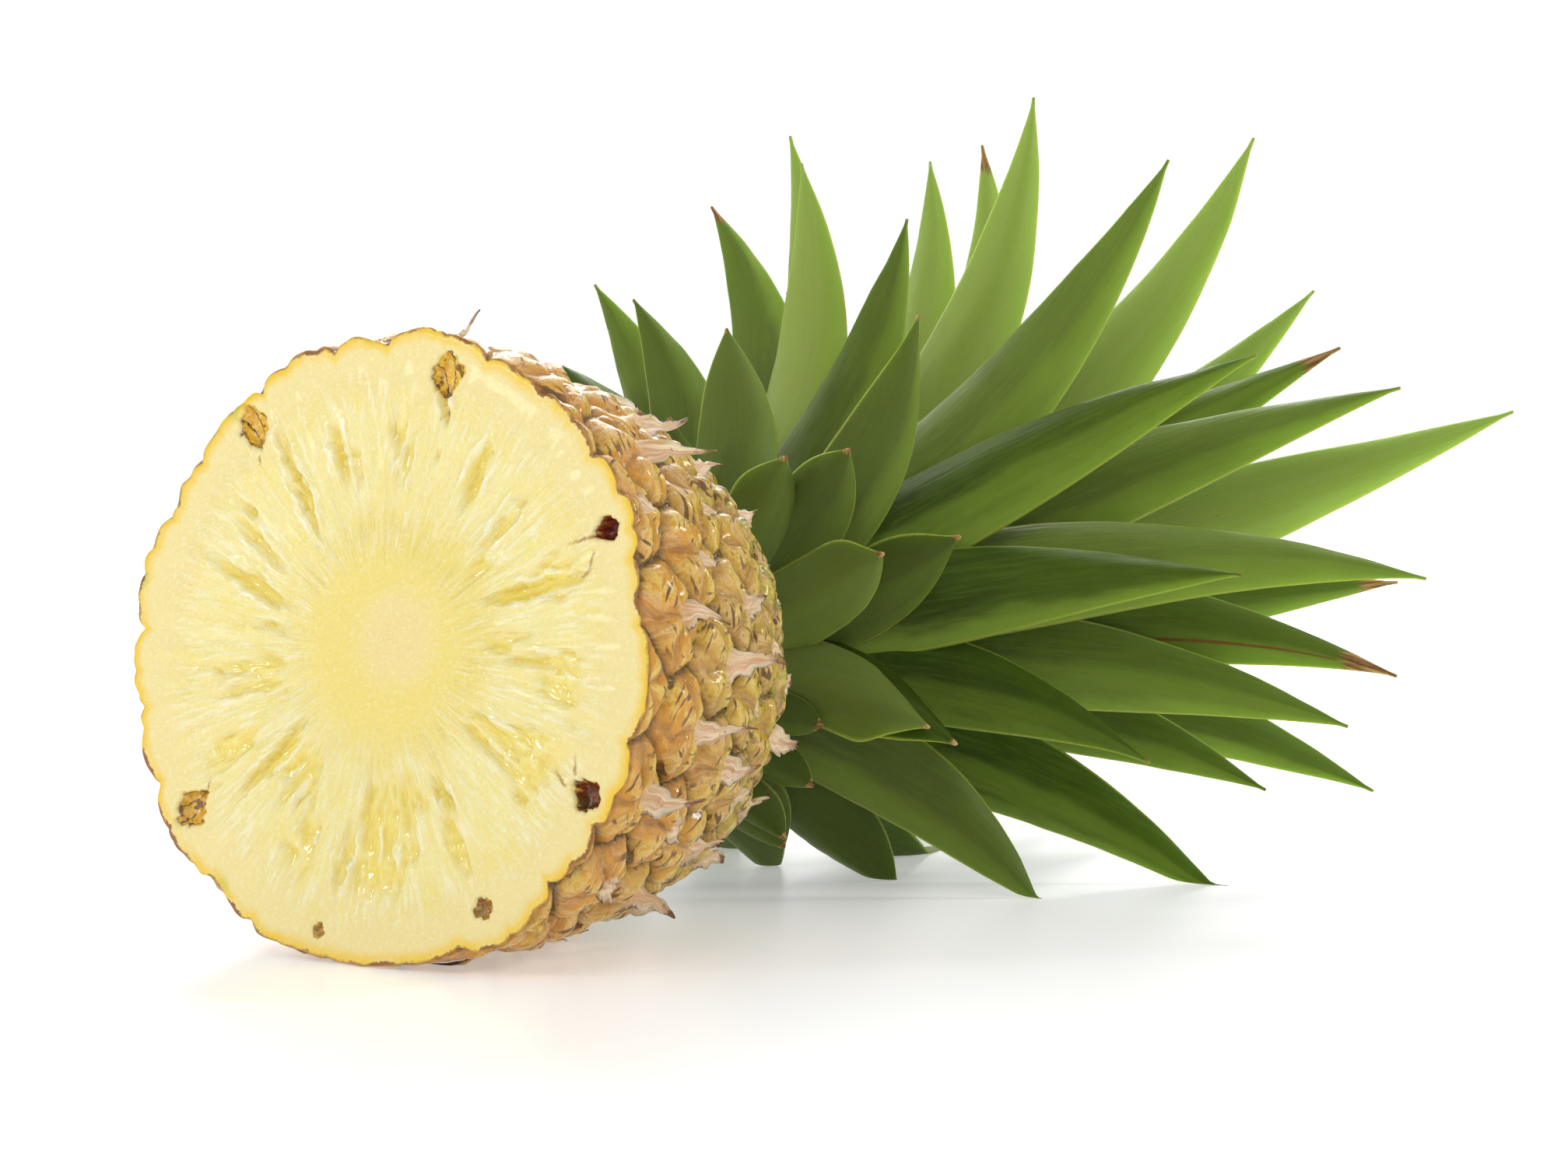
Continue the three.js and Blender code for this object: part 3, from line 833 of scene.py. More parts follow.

# %% [markdown]
# ## Rind
# The rind ripens from the foot upwards, so it is golden beside the cut and still green at the
# shoulder. It has a waxy gloss, dry papery feet of bracts and short brown cracks in the
# knuckles. The crests of its folds are painted lighter as painted highlights, and its creases
# and the grooves between the eyes are painted darker as painted shade. One noise over the
# whole rind would put the marks anywhere. Here all of it is driven by the place in the eye
# that each point carries, so that the marks sit where they grow.

# %% Rind material
def rind_material():
    material, tree, shader = new_material("waxy_rind")
    place = carried(tree, "cut_place", "Vector")
    along = place.parts()[2]
    up, side = carried(tree, "eye_up"), carried(tree, "eye_side")
    luck, border = carried(tree, "eye_luck"), carried(tree, "eye_border")
    patches = noise(place, 0.09, 3.0, 0.5)
    mottle = noise(place, 0.5, 4.0, 0.6)
    grain = noise(place, 2.4, 4.0, 0.65)
    ripeness = along + (patches - 0.5) * 70.0 + (luck - 0.5) * 30.0

    # Folds and creases, as they were shaped.
    away = GATHER_UP - up
    angle = side.math("ARCTAN2", away) * FOLDS + carried(tree, "eye_swing")
    fold = (angle + (mottle - 0.5) * 0.5).math("SINE").math("ABSOLUTE")
    reach = join_parts(tree, side, away, 0.0).vector("LENGTH", output="Value")

    # The dry foot of the bract, with fine lines that run together.
    lines = noise(join_parts(tree, angle * 3.0, reach * 3.0, luck * 40.0), 1.0, 3.0, 0.6)
    foot = up.between(0.16, -0.12) * (patches + (mottle - 0.5) * 0.8).between(0.42, 0.56)
    paper = mixed(lines.between(0.35, 0.65), "#b97c42", "#ebc490")

    # Short dark cracks along the creases.
    dash = noise(join_parts(tree, angle * 0.6, reach * 17.0, luck * 60.0), 1.0, 1.0)
    crack = fold.between(0.35, 0.8) * dash.between(0.58, 0.66) * reach.between(0.12, 0.22)

    skin = coated(
        mixed(ripeness.between(6, 44), "#d9971c", "#cfa524"),
        (ripeness.between(34, 80), "#9f9a22"),
        (ripeness.between(74, 104), "#4c6617"),                 # green at the shoulder
        # the fold crests are painted lighter: a painted highlight
        (fold.between(0.5, 0.95) * mottle.between(0.35, 0.6) * 0.8, "#f0d468"),     # crests
        # the creases are painted darker: painted shade
        (fold.between(0.45, 0.05) * 0.55, "#9a6a24"),           # creases
        (mottle.between(0.55, 0.75) * 0.3, "#b07c34"),          # tan blotches
        (foot * 0.62, paper),
        (crack * 0.85, "#5b3118"),
        ((mottle + lines * 0.5).between(0.86, 0.98) * 0.5, "#7b4a20"),  # brown stains
        # darker down in the grooves between the eyes: painted shade
        (border.between(0.12, 0.0) * 0.8, "#50370f"),           # painted shade in the grooves
        (grain.between(0.62, 0.78) * 0.3, "#efdcae"),           # wax and dust
        (along.between(1.2, 0.1) * mottle.between(0.35, 0.6, 0.3, 0.9), "#a9702c"),
    )
    bumps = fold * 0.7 + lines * 0.5 + mottle * 0.6 + grain * 0.35 - crack * 0.5
    dress(tree, shader, {
        "Base Color": skin,
        "Normal": relief(bumps, 1.0 * MM, 0.75),
        "Roughness": mottle.between(0.3, 0.7, 0.12, 0.28) + foot * 0.22,
        "Specular IOR Level": 0.3,
        "Coat Weight": foot.between(0.6, 0.0, 0.05, 0.5),
        "Coat Roughness": 0.1,
        "Subsurface Weight": 0.12,
        "Subsurface Radius": (1.0, 0.6, 0.2),
        "Subsurface Scale": 1.2 * MM,
    })
    return material


rind = rind_material()
print("rind nodes:", len(rind.node_tree.nodes))

# %% [markdown]
# Both finishes go on the one mesh. The first rows of faces, up to the rim, are flesh and the
# rest are rind. The fan at the middle belongs to the flesh too, and the one at the stem to
# the rind.

# %% Dress the fruit
fruit_mesh.materials.append(flesh)
fruit_mesh.materials.append(rind)
row_of_face = np.concatenate([
    np.repeat(np.arange(ring_count - 1), COLUMNS), np.zeros(COLUMNS), np.full(COLUMNS, ring_count),
])
has_rind = row_of_face >= len(face_rings)
fruit_mesh.polygons.foreach_set("material_index", has_rind.astype(np.int32))
fruit_mesh.update()
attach(fruit, "root")
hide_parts("fruit_half")
print("faces with rind:", int(has_rind.sum()), "of", len(has_rind))

# %% [markdown]
# ## Node trees that make shapes
# Geometry Nodes make what repeats or follows a path. Each tree below takes its sizes as named
# inputs, and ends by turning instances into real mesh and setting the material. A modifier's
# input has to be set by its identifier, which the interface gives for each name. The result
# is then baked into a plain mesh, and the modifier goes.

# %% Tree helpers
def new_tree(name, numbers):
    """A node tree with a Geometry input, a Material input and named numbers."""
    tree = bpy.data.node_groups.new(name, "GeometryNodeTree")
    tree.interface.new_socket("Geometry", in_out="INPUT", socket_type="NodeSocketGeometry")
    tree.interface.new_socket("Geometry", in_out="OUTPUT", socket_type="NodeSocketGeometry")
    for label, value in numbers.items():
        socket = tree.interface.new_socket(label, in_out="INPUT", socket_type="NodeSocketFloat")
        socket.default_value = value
    tree.interface.new_socket("Material", in_out="INPUT", socket_type="NodeSocketMaterial")
    given = tree.nodes.new("NodeGroupInput").outputs
    return tree, {socket.name: Signal(tree, socket) for socket in given if socket.name}


def tube(tree, around, along):
    """A closed tube of radius 1 that goes from -0.5 to 0.5 along Z, to be bent into a blade."""
    inputs = {"Vertices": around, "Side Segments": along, "Radius": 1.0, "Depth": 1.0}
    return add(tree, "GeometryNodeMeshCylinder", inputs, fill_type="TRIANGLE_FAN")


def end_tree(tree, geometry, material):
    real = add(tree, "GeometryNodeRealizeInstances", {"Geometry": geometry})
    dressed = add(tree, "GeometryNodeSetMaterial", {"Geometry": real, "Material": material})
    leave = tree.nodes.new("NodeGroupOutput")
    plug(tree, dressed, leave.inputs["Geometry"])


def named(tree, name, kind="FLOAT"):
    """A value that the mesh carries under that name, in Geometry Nodes."""
    return add(tree, "GeometryNodeInputNamedAttribute", {"Name": name}, data_type=kind)


def stored(tree, geometry, name, value, kind="FLOAT"):
    inputs = {"Geometry": geometry, "Name": name, "Value": value}
    return add(tree, "GeometryNodeStoreNamedAttribute", inputs, data_type=kind, domain="POINT")


def grown(name, mesh, tree, values):
    """Runs a tree on a mesh with those inputs, and keeps the result as a plain mesh."""
    piece = new_piece(name, mesh)
    modifier = piece.modifiers.new("grow", "NODES")
    modifier.node_group = tree
    for item in tree.interface.items_tree:
        if item.in_out == "INPUT" and item.name in values:
            modifier[item.identifier] = values[item.name]
    depsgraph = bpy.context.evaluated_depsgraph_get()
    made = bpy.data.meshes.new_from_object(piece.evaluated_get(depsgraph), depsgraph=depsgraph)
    piece.modifiers.clear()
    piece.data = made
    made.name = name
    made.shade_smooth()
    return piece


print("tree helpers ready")


# %% [markdown]
# ## Papery bract tips
# From the middle of each eye the bract runs on as a dry, papery point, with fine teeth along
# its edges and a brown tip. They curl as they dry, so no two are alike. One blade is made as
# a thin closed tube, copied to a point on every eye, and bent by that eye's own chance.
# Underneath the fruit they are pressed flat.

# %% Points that the tips grow from
TIPS_FROM, TIPS_TO_RADIUS = 1.5, 22   # mm from the cut, and the rind's radius at the last tips
TIP_LIFT = 1.4                        # mm off the smooth rind, on a full-sized eye
TIP_PRESSED = 0.08                    # the curl that is left underneath


def above_rind(turn, reach, lift):
    """Points at that walked distance from the cut, lifted off the smooth rind."""
    along = np.interp(reach, walked, fine_along)
    return on_fruit(turn, along, rind_radius(along) + lift)


def unit(rows):
    return rows / np.linalg.norm(rows, axis=1)[:, None]


lasting = (eye_along > TIPS_FROM) & (rind_radius(eye_along) > TIPS_TO_RADIUS)
tip_turn, tip_walked, tip_size = eye_turn[lasting], eye_walked[lasting], eye_size[lasting]
tip_root = above_rind(tip_turn, tip_walked, TIP_LIFT * tip_size)
tip_ahead = unit(above_rind(tip_turn, tip_walked + 2, TIP_LIFT * tip_size) - tip_root)
tip_out = outwards(tip_turn)
tip_out = unit(tip_out - np.einsum("ij,ij->i", tip_out, tip_ahead)[:, None] * tip_ahead)

tip_mesh = bpy.data.meshes.new("tip_points")
tip_mesh.from_pydata((tip_root * MM).tolist(), [], [])
put(tip_mesh, "root", tip_root * MM, "FLOAT_VECTOR")
put(tip_mesh, "ahead", tip_ahead, "FLOAT_VECTOR")
put(tip_mesh, "out", tip_out, "FLOAT_VECTOR")
put(tip_mesh, "size", tip_size)
put(tip_mesh, "luck", np.random.default_rng(8).random(len(tip_size)))
put(tip_mesh, "free", TIP_PRESSED + (1 - TIP_PRESSED) * off_the_flat(tip_turn))
print("bract tips:", len(tip_size))

# %% [markdown]
# The tree copies the tube to every point, and then moves each of its corners. `x` and `y` go
# round the tube and `share` runs from its foot to its tip, so the blade's half width, its
# lift off the rind and its curl are all written as functions of those. An instance could be
# turned and scaled instead, but then every tip would have the same bends.

# %% Bract tip tree
TIP_NUMBERS = {"Length": 0.0168, "Foot width": 0.0138, "Thickness": 0.00025, "Seed": 3.0}
TIP_AROUND, TIP_ALONG = 6, 18
TIP_LEAST_HALF = 0.00012      # m, half of its width at the very point
TIP_CLEARANCE = 0.0004        # m off the floor


def bract_tree():
    tree, given = new_tree("bract_tips", TIP_NUMBERS)
    blade = tube(tree, TIP_AROUND, TIP_ALONG)
    position = add(tree, "GeometryNodeInputPosition")
    blade = stored(tree, blade, "shape", position, "FLOAT_VECTOR")
    points_and_blade = {"Points": given["Geometry"], "Instance": blade}
    copies = add(tree, "GeometryNodeInstanceOnPoints", points_and_blade)
    real = add(tree, "GeometryNodeRealizeInstances", {"Geometry": copies})

    x, y, z = named(tree, "shape", "FLOAT_VECTOR").parts()
    size, luck, free = named(tree, "size"), named(tree, "luck"), named(tree, "free")
    share = z + 0.5
    chance = (luck * 91.7 + given["Seed"]).math("SINE") * 0.5 + 0.5
    other_chance = (luck * 57.3 + given["Seed"] * 2.0).math("SINE") * 0.5 + 0.5
    whole = luck.math("GREATER_THAN", 0.2) * 0.6 + 0.4
    length = given["Length"] * size * (chance * chance * 0.9 + 0.4) * whole

    # A straight triangle on a wider foot, with ragged edges.
    foot = (1.0 - share.between(0.0, 0.35)) * given["Foot width"] * 0.16
    neck = given["Foot width"] * 0.3 * (1.0 - share) ** (other_chance * 0.8 + 0.7)
    teeth = 1.0 + (share * 88.0 + luck * 20.0).math("SINE") * 0.16
    teeth = teeth + (share * 23.0 + x * 2.0 + luck * 71.0).math("SINE") * 0.14
    half = (foot + neck) * size * teeth + TIP_LEAST_HALF
    waver = (share * 3.5 + luck * 40.0).math("SINE") * 0.0024 * share * size

    # It lifts off the rind and curls, cups and ripples as it dried.
    curl_back = share.between(0.55, 1.0) * length * 0.3 * (chance - 0.6)
    lift = ((share**1.5) * length * (other_chance * 0.42 + 0.03) + curl_back) * free
    cup = x * x * half * (chance * 1.3 - 0.4) * share.between(0.1, 0.5) * free
    cup = cup + x * half * (luck * 1.6 - 0.8) * share.between(0.2, 0.8) * free
    hug = x * x * -0.0013 * (1.0 - share.between(0.0, 0.45)) * size
    ripple = (x * 4.0 + share * 9.0 + luck * 30.0).math("SINE") * 0.00035 * share * free
    skin = y * given["Thickness"] * (1.2 - share)

    root, way, out = (named(tree, name, "FLOAT_VECTOR") for name in ("root", "ahead", "out"))
    beside = out.vector("CROSS_PRODUCT", way)
    place = root.vector("ADD", way.scaled(share * length))
    place = place.vector("ADD", out.scaled(lift + cup + hug + ripple + skin))
    place = place.vector("ADD", beside.scaled(x * half + waver))
    px, py, pz = place.parts()
    place = join_parts(tree, px, py, pz.math("MAXIMUM", TIP_CLEARANCE))
    bent = add(tree, "GeometryNodeSetPosition", {"Geometry": real, "Position": place})
    bent = stored(tree, bent, "tip_share", share)
    bent = stored(tree, bent, "tip_side", x)
    end_tree(tree, bent, given["Material"])
    return tree


tip_tree = bract_tree()
print("bract tip nodes:", len(tip_tree.nodes))

# %% [markdown]
# Dry bract is like thin brown paper: pale and pinkish, with fine veins that run to a dark
# point, and light shines through it. The tree has stored how far along and aside each corner
# is, and the material reads that, so its veins follow every curl.

# %% Bract material
def bract_material():
    material, tree, shader = new_material("dry_bract")
    share, side, luck = (carried(tree, name) for name in ("tip_share", "tip_side", "luck"))
    place = add(tree, "ShaderNodeTexCoord", output="Object")
    mottle = noise(place, 420.0, 3.0, 0.6)
    veins = noise(join_parts(tree, side * 5.0, share * 1.6, luck * 50.0), 1.0, 3.0, 0.6)
    paper = coated(
        mixed(veins.between(0.35, 0.65), "#cd9f72", "#f1d8b8"),
        (share.between(0.4, 0.0) * 0.65, "#c9974e"),            # golden at its foot
        (mottle.between(0.6, 0.72) * 0.6, "#8f5f3a"),
        ((share + (mottle - 0.5) * 0.35).between(0.74, 0.9), "#6e4327"),
    )
    dress(tree, shader, {
        "Base Color": paper,
        "Normal": relief(veins + mottle * 0.4, 0.4 * MM, 0.6),
        "Roughness": 0.55,
        "Subsurface Weight": 0.5,
        "Subsurface Radius": (1.0, 0.7, 0.4),
        "Subsurface Scale": 0.8 * MM,
    })
    return material


bract = bract_material()
print("bract nodes:", len(bract.node_tree.nodes))

# %% [markdown]
# Now the tree runs on the points. All the tips become one mesh, because they are part of the
# fruit and far too many to be pieces of their own.

# %% Grow the bract tips
tips = grown("eye_bract_tips", tip_mesh, tip_tree, {**TIP_NUMBERS, "Material": bract})
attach(tips, "root")
tip_volume = round(volume_of(tips.data), 2)
print("bract tip faces:", len(tips.data.polygons), "volume in cm3:", tip_volume)

# %% [markdown]
# ## Crown stem
# Between the leaves runs a short stem, which shows only in small gaps. It tapers, and has low
# ridges where the leaves clasp it. A profile could be spun with a Screw modifier, but then it
# would be perfectly round. Rings of points with a spiral ripple are as short to write.

# %% Stem
STEM_LENGTH, STEM_BASE_RADIUS, STEM_TIP_RADIUS = 46, 20, 7
STEM_AROUND, STEM_ROWS = 96, 60
STEM_SINK, STEM_SETBACK = 0.03, 0.45  # how far its foot goes into the fruit, and its skin in mm
crown_axis = np.array([1.0, 0.0, 0.0])
crown_up = np.array([0.0, 0.0, 1.0])

heights = np.concatenate([np.linspace(-STEM_SINK, 0.9, STEM_ROWS), [0.93, 0.96, 0.985, 1.0]])
closing = np.concatenate([np.ones(STEM_ROWS), [0.97, 0.88, 0.7, 0.45]])
stem_turn = np.linspace(0, 2 * math.pi, STEM_AROUND, endpoint=False)
height_grid, turn_grid = (grid.ravel() for grid in np.meshgrid(heights, stem_turn, indexing="ij"))
ridges = 0.25 * np.sin(8 * turn_grid + height_grid * 60)
ridges += 0.2 * np.sin(-5 * turn_grid + height_grid * 90)
stem_radius = STEM_BASE_RADIUS + (STEM_TIP_RADIUS - STEM_BASE_RADIUS) * height_grid
stem_radius = stem_radius * np.repeat(closing, STEM_AROUND) - STEM_SETBACK + ridges
stem_points = crown_root + (height_grid * STEM_LENGTH)[:, None] * crown_axis
stem_points = stem_points + stem_radius[:, None] * outwards(turn_grid, crown_up)
first_ring = range(STEM_AROUND)
last_ring = range(len(stem_points) - STEM_AROUND, len(stem_points))
stem_faces = tube_faces(len(heights), STEM_AROUND).tolist()
stem_faces += [list(reversed(first_ring)), list(last_ring)]


def stem_material():
    material, tree, shader = new_material("stem_skin")
    place = add(tree, "ShaderNodeTexCoord", output="Object")
    streaks = noise(place, 260.0, 4.0, 0.6, stretch=(0.2, 1.0, 1.0))
    patches = noise(place, 60.0, 3.0, 0.5)
    skin = mixed(streaks.between(0.4, 0.65), "#8fa04c", "#c9cf8f")
    dress(tree, shader, {
        "Base Color": mixed(patches.between(0.5, 0.75), skin, "#8a6a3a"),
        "Normal": relief(streaks, 0.5 * MM, 0.6),
        "Roughness": 0.6,
    })
    return material


stem_mesh = bpy.data.meshes.new("crown_stem_skin")
stem_mesh.from_pydata((stem_points * MM).tolist(), [], stem_faces)
stem_mesh.shade_smooth()
stem_mesh.materials.append(stem_material())
stem = new_piece("crown_stem_skin", stem_mesh)
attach(stem, "root")
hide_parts("crown_stem")
print("stem volume in cm3:", round(volume_of(stem_mesh), 2))

# %% [markdown]
# ## The leaves' midlines
# A crown leaf springs from the stem at a slant and bows outwards under its own weight. A
# curve could be drawn by hand for each, but a midline is short to describe: where it starts,
# how far it leans at its tip, and how far it veers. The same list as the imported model's gives
# those for each leaf, lowest first, so that both agree, and a walk in small steps gives the
# line. Turns and leans are in degrees, lengths in millimetres, and a height is a share of the
# stem. The list was not typed row by row: separate programs fitted 36 of the leaves to
# measured points, moved leaves apart where they overlapped, and sorted the rows. A leaf's
# blade then follows its line.

# %% Leaf list
LEAVES = [
    # turn, height, lean, length, sway
    (67, 0.02, 88, 42, -4), (150, 0.03, 50, 34, 0), (262, 0.03, 84, 44, 0),
    (8, 0.05, 82, 39, -12), (40, 0.05, 84, 38, -10), (205, 0.05, 50, 34, 0),
    (312, 0.05, 86, 46, 0), (86, 0.06, 92, 47, 13), (44, 0.12, 84, 48, -6),
    (83, 0.12, 92, 53, 19), (335, 0.12, 68, 84, -17), (114, 0.17, 78, 84, 12),
    (10, 0.18, 76, 67, -14), (72, 0.2, 86, 57, -8), (146, 0.2, 44, 66, 4), (232, 0.2, 62, 78, 0),
    (302, 0.2, 76, 82, -6), (45, 0.22, 83, 82, -17), (186, 0.22, 30, 66, 0),
    (276, 0.24, 78, 88, 0), (345, 0.25, 76, 90, -13), (69, 0.25, 79, 114, 10),
    (88, 0.3, 84, 94, 14), (47, 0.31, 73, 135, 9), (212, 0.31, 34, 98, 0),
    (325, 0.33, 78, 111, -3), (66, 0.35, 75, 156, 16), (16, 0.36, 71, 110, -6),
    (112, 0.36, 74, 123, 7), (165, 0.38, 22, 112, 4), (248, 0.38, 66, 122, 4),
    (300, 0.38, 74, 116, 0), (40, 0.4, 73, 153, -8), (359, 0.42, 72, 131, -10),
    (87, 0.43, 73, 139, 10), (280, 0.45, 72, 130, 0), (53, 0.48, 67, 166, 10),
    (347, 0.49, 71, 138, -15), (268, 0.51, 68, 158, 0), (76, 0.52, 72, 151, 16),
    (27, 0.54, 76, 157, -14), (99, 0.56, 67, 126, 9), (292, 0.58, 70, 150, 4),
    (234, 0.6, 58, 150, 2), (69, 0.61, 67, 193, -1), (340, 0.63, 76, 158, 0),
    (44, 0.65, 70, 182, -13), (190, 0.66, 14, 130, 4), (97, 0.69, 63, 157, 11),
    (5, 0.7, 63, 161, -13), (45, 0.74, 61, 167, 8), (255, 0.75, 50, 170, 4),
    (130, 0.76, 30, 120, 6), (52, 0.8, 60, 174, -8), (318, 0.8, 56, 172, 0),
    (160, 0.84, 10, 140, 6), (81, 0.86, 58, 165, 2), (9, 0.9, 66, 182, -17),
]
LEAF_BASE_LEAN, LEAF_LEAN_LOSS = 40, 34     # degrees at the lowest root, and less up to the tip
LEAF_SWAY_POWER = 1.5
LEAF_ROOT_THICKNESS, LEAF_TIP_THICKNESS = 1.5, 0.6
CLEARANCE = 0.3
MIDLINE_STEPS = 48


def leaf_midline(turn, height, lean, length, sway):
    """Points of a leaf's midline in mm, and the way out from the crown's axis at each."""
    root_lean = LEAF_BASE_LEAN - LEAF_LEAN_LOSS * height
    share = np.linspace(0, 1, MIDLINE_STEPS + 1)
    leans = np.radians(root_lean + (lean - root_lean) * (share[:-1] + 0.5 / MIDLINE_STEPS))
    step = length / MIDLINE_STEPS
    forward = height * STEM_LENGTH + np.concatenate([[0], np.cumsum(np.cos(leans) * step)])
    stem_here = STEM_BASE_RADIUS + (STEM_TIP_RADIUS - STEM_BASE_RADIUS) * height
    outward = stem_here + LEAF_ROOT_THICKNESS + CLEARANCE
    outward = outward + np.concatenate([[0], np.cumsum(np.sin(leans) * step)])
    radial = outwards(np.radians(turn + sway * share**LEAF_SWAY_POWER), crown_up)
    return crown_root + forward[:, None] * crown_axis + outward[:, None] * radial, radial


print("leaves:", len(LEAVES), "longest in mm:", max(leaf[3] for leaf in LEAVES))

# %% [markdown]
# ## A leaf's blade
# The blade is a shallow channel, thick in the middle and rounded at its edges. It is narrow
# at its root, widest before its middle, and runs out to a point. A flat strip with a Solidify
# modifier would have square edges. Here the tree takes a plain tube, reads off the midline
# where each ring lies, and spreads the ring into the channel. Edges of real leaves are never
# straight, so slow waves move them in, out and up. The move mirrors the tube, so its faces
# are flipped at the end to point outwards again.

# %% Leaf tree
SECTION, STATIONS = 22, 64
LEAF_NUMBERS = {
    "Widest": 0.02, "Root share": 0.55, "Widest at": 0.4, "Point power": 1.7,
    "Root thickness": LEAF_ROOT_THICKNESS * MM, "Tip thickness": LEAF_TIP_THICKNESS * MM,
    "Channel": 0.23, "Root channel": 0.07, "Open at": 0.35, "Edge wave": 0.0009, "Seed": 0.0,
}
LEAF_LEAST_WIDTH = 0.0007     # m
LEAF_ROUNDING = 0.55          # 1 gives an oval section, and less a fuller one
FLOOR_BEND = 0.0012           # m; below this height a leaf bends along the floor


def at_midline(tree, midline, share):
    """The place on the midline at that share of it, its way on, and the way out there."""
    sample = tree.nodes.new("GeometryNodeSampleCurve")
    sample.data_type = "FLOAT_VECTOR"
    sample.mode = "FACTOR"
    value_in, value_out = (
        next(socket for socket in sockets if socket.name == "Value" and socket.enabled)
        for sockets in (sample.inputs, sample.outputs)
    )
    plug(tree, midline, sample.inputs["Curves"])
    plug(tree, named(tree, "radial", "FLOAT_VECTOR"), value_in)
    plug(tree, share, sample.inputs["Factor"])
    middle, tangent = (Signal(tree, sample.outputs[name]) for name in ("Position", "Tangent"))
    return middle, tangent, Signal(tree, value_out)


def leaf_tree():
    tree, given = new_tree("crown_leaf", LEAF_NUMBERS)
    midline = add(tree, "GeometryNodeMeshToCurve", {"Mesh": given["Geometry"]})
    blade = tube(tree, SECTION, STATIONS)
    x, y, z = add(tree, "GeometryNodeInputPosition").parts()
    share = z + 0.5
    middle, tangent, radial = at_midline(tree, midline, share)
    side = tangent.vector("CROSS_PRODUCT", radial).vector("NORMALIZE")
    out = side.vector("CROSS_PRODUCT", tangent)

    # Width: it opens from the root, and closes to the point.
    opening = (share / given["Widest at"]).math("MINIMUM", 1.0) * (math.pi / 2)
    closing = ((share - given["Widest at"]) / (1.0 - given["Widest at"])).math("MAXIMUM", 0.0)
    grow = given["Root share"] + (1.0 - given["Root share"]) * opening.math("SINE")
    width = given["Widest"] * grow * (1.0 - closing ** given["Point power"])
    width = width.math("MAXIMUM", LEAF_LEAST_WIDTH)
    folding = share.between(0.0, given["Open at"])
    curl = width * (given["Root channel"] + (given["Channel"] - given["Root channel"]) * folding)

    # Waves of the edges, and a slow twist.
    seed, edge = given["Seed"], x.math("SIGN")
    slow = noise(join_parts(tree, share * 3.2, edge * 4.0, seed * 7.1), 1.0, 1.0) - 0.5
    quick = noise(join_parts(tree, share * 13.0, edge * 9.0, seed * 3.7), 1.0, 1.0) - 0.5
    twist = noise(join_parts(tree, share * 1.6, 3.0, seed * 5.3), 1.0, 1.0) - 0.5
    in_play = share.between(0.05, 0.4) * share.between(1.0, 0.9)
    wave = (slow * 2.2 + quick * 0.8) * given["Edge wave"] * in_play
    bend = x * twist * width * 0.35 * in_play

    sideways = x * (width * 0.5 + wave * 0.35)
    thinning = given["Tip thickness"] - given["Root thickness"]
    thickness = given["Root thickness"] + thinning * share
    full = y.math("SIGN") * (y.math("ABSOLUTE") ** LEAF_ROUNDING)
    lifted = wave * x * x - curl * x * x + bend + thickness * 0.5 * (full - 1.0)
    place = middle.vector("ADD", side.scaled(sideways)).vector("ADD", out.scaled(lifted))
    px, py, pz = place.parts()
    below = ((pz - FLOOR_BEND) / FLOOR_BEND).math("MINIMUM", 0.0)
    resting = below.math("EXPONENT") * FLOOR_BEND
    place = join_parts(tree, px, py, pz.math("MAXIMUM", resting))

    # The material's values are stored before the move, while the tube is still straight.
    marks = {"blade_side": x, "blade_share": share, "blade_across": sideways}
    for name, value in marks.items():
        blade = stored(tree, blade, name, value)
    blade = add(tree, "GeometryNodeSetPosition", {"Geometry": blade, "Position": place})
    blade = add(tree, "GeometryNodeFlipFaces", {"Mesh": blade})
    end_tree(tree, blade, given["Material"])
    return tree


blade_tree = leaf_tree()
print("leaf tree nodes:", len(blade_tree.nodes))

# %% [markdown]
# ## Leaf skin
# A pineapple leaf is full of straight parallel veins, and its outer face has a thin grey
# bloom. It is deep green, often with a paler band along one side, a fine yellow-green line
# at its edge, and a dry brown point. It is thin enough for light to come through, so it
# scatters light inside and glows lime where the light is behind it.

# %% Leaf material
VEINS, SPECKS = 1500.0, 900.0         # how close they lie, as noise scales for metres


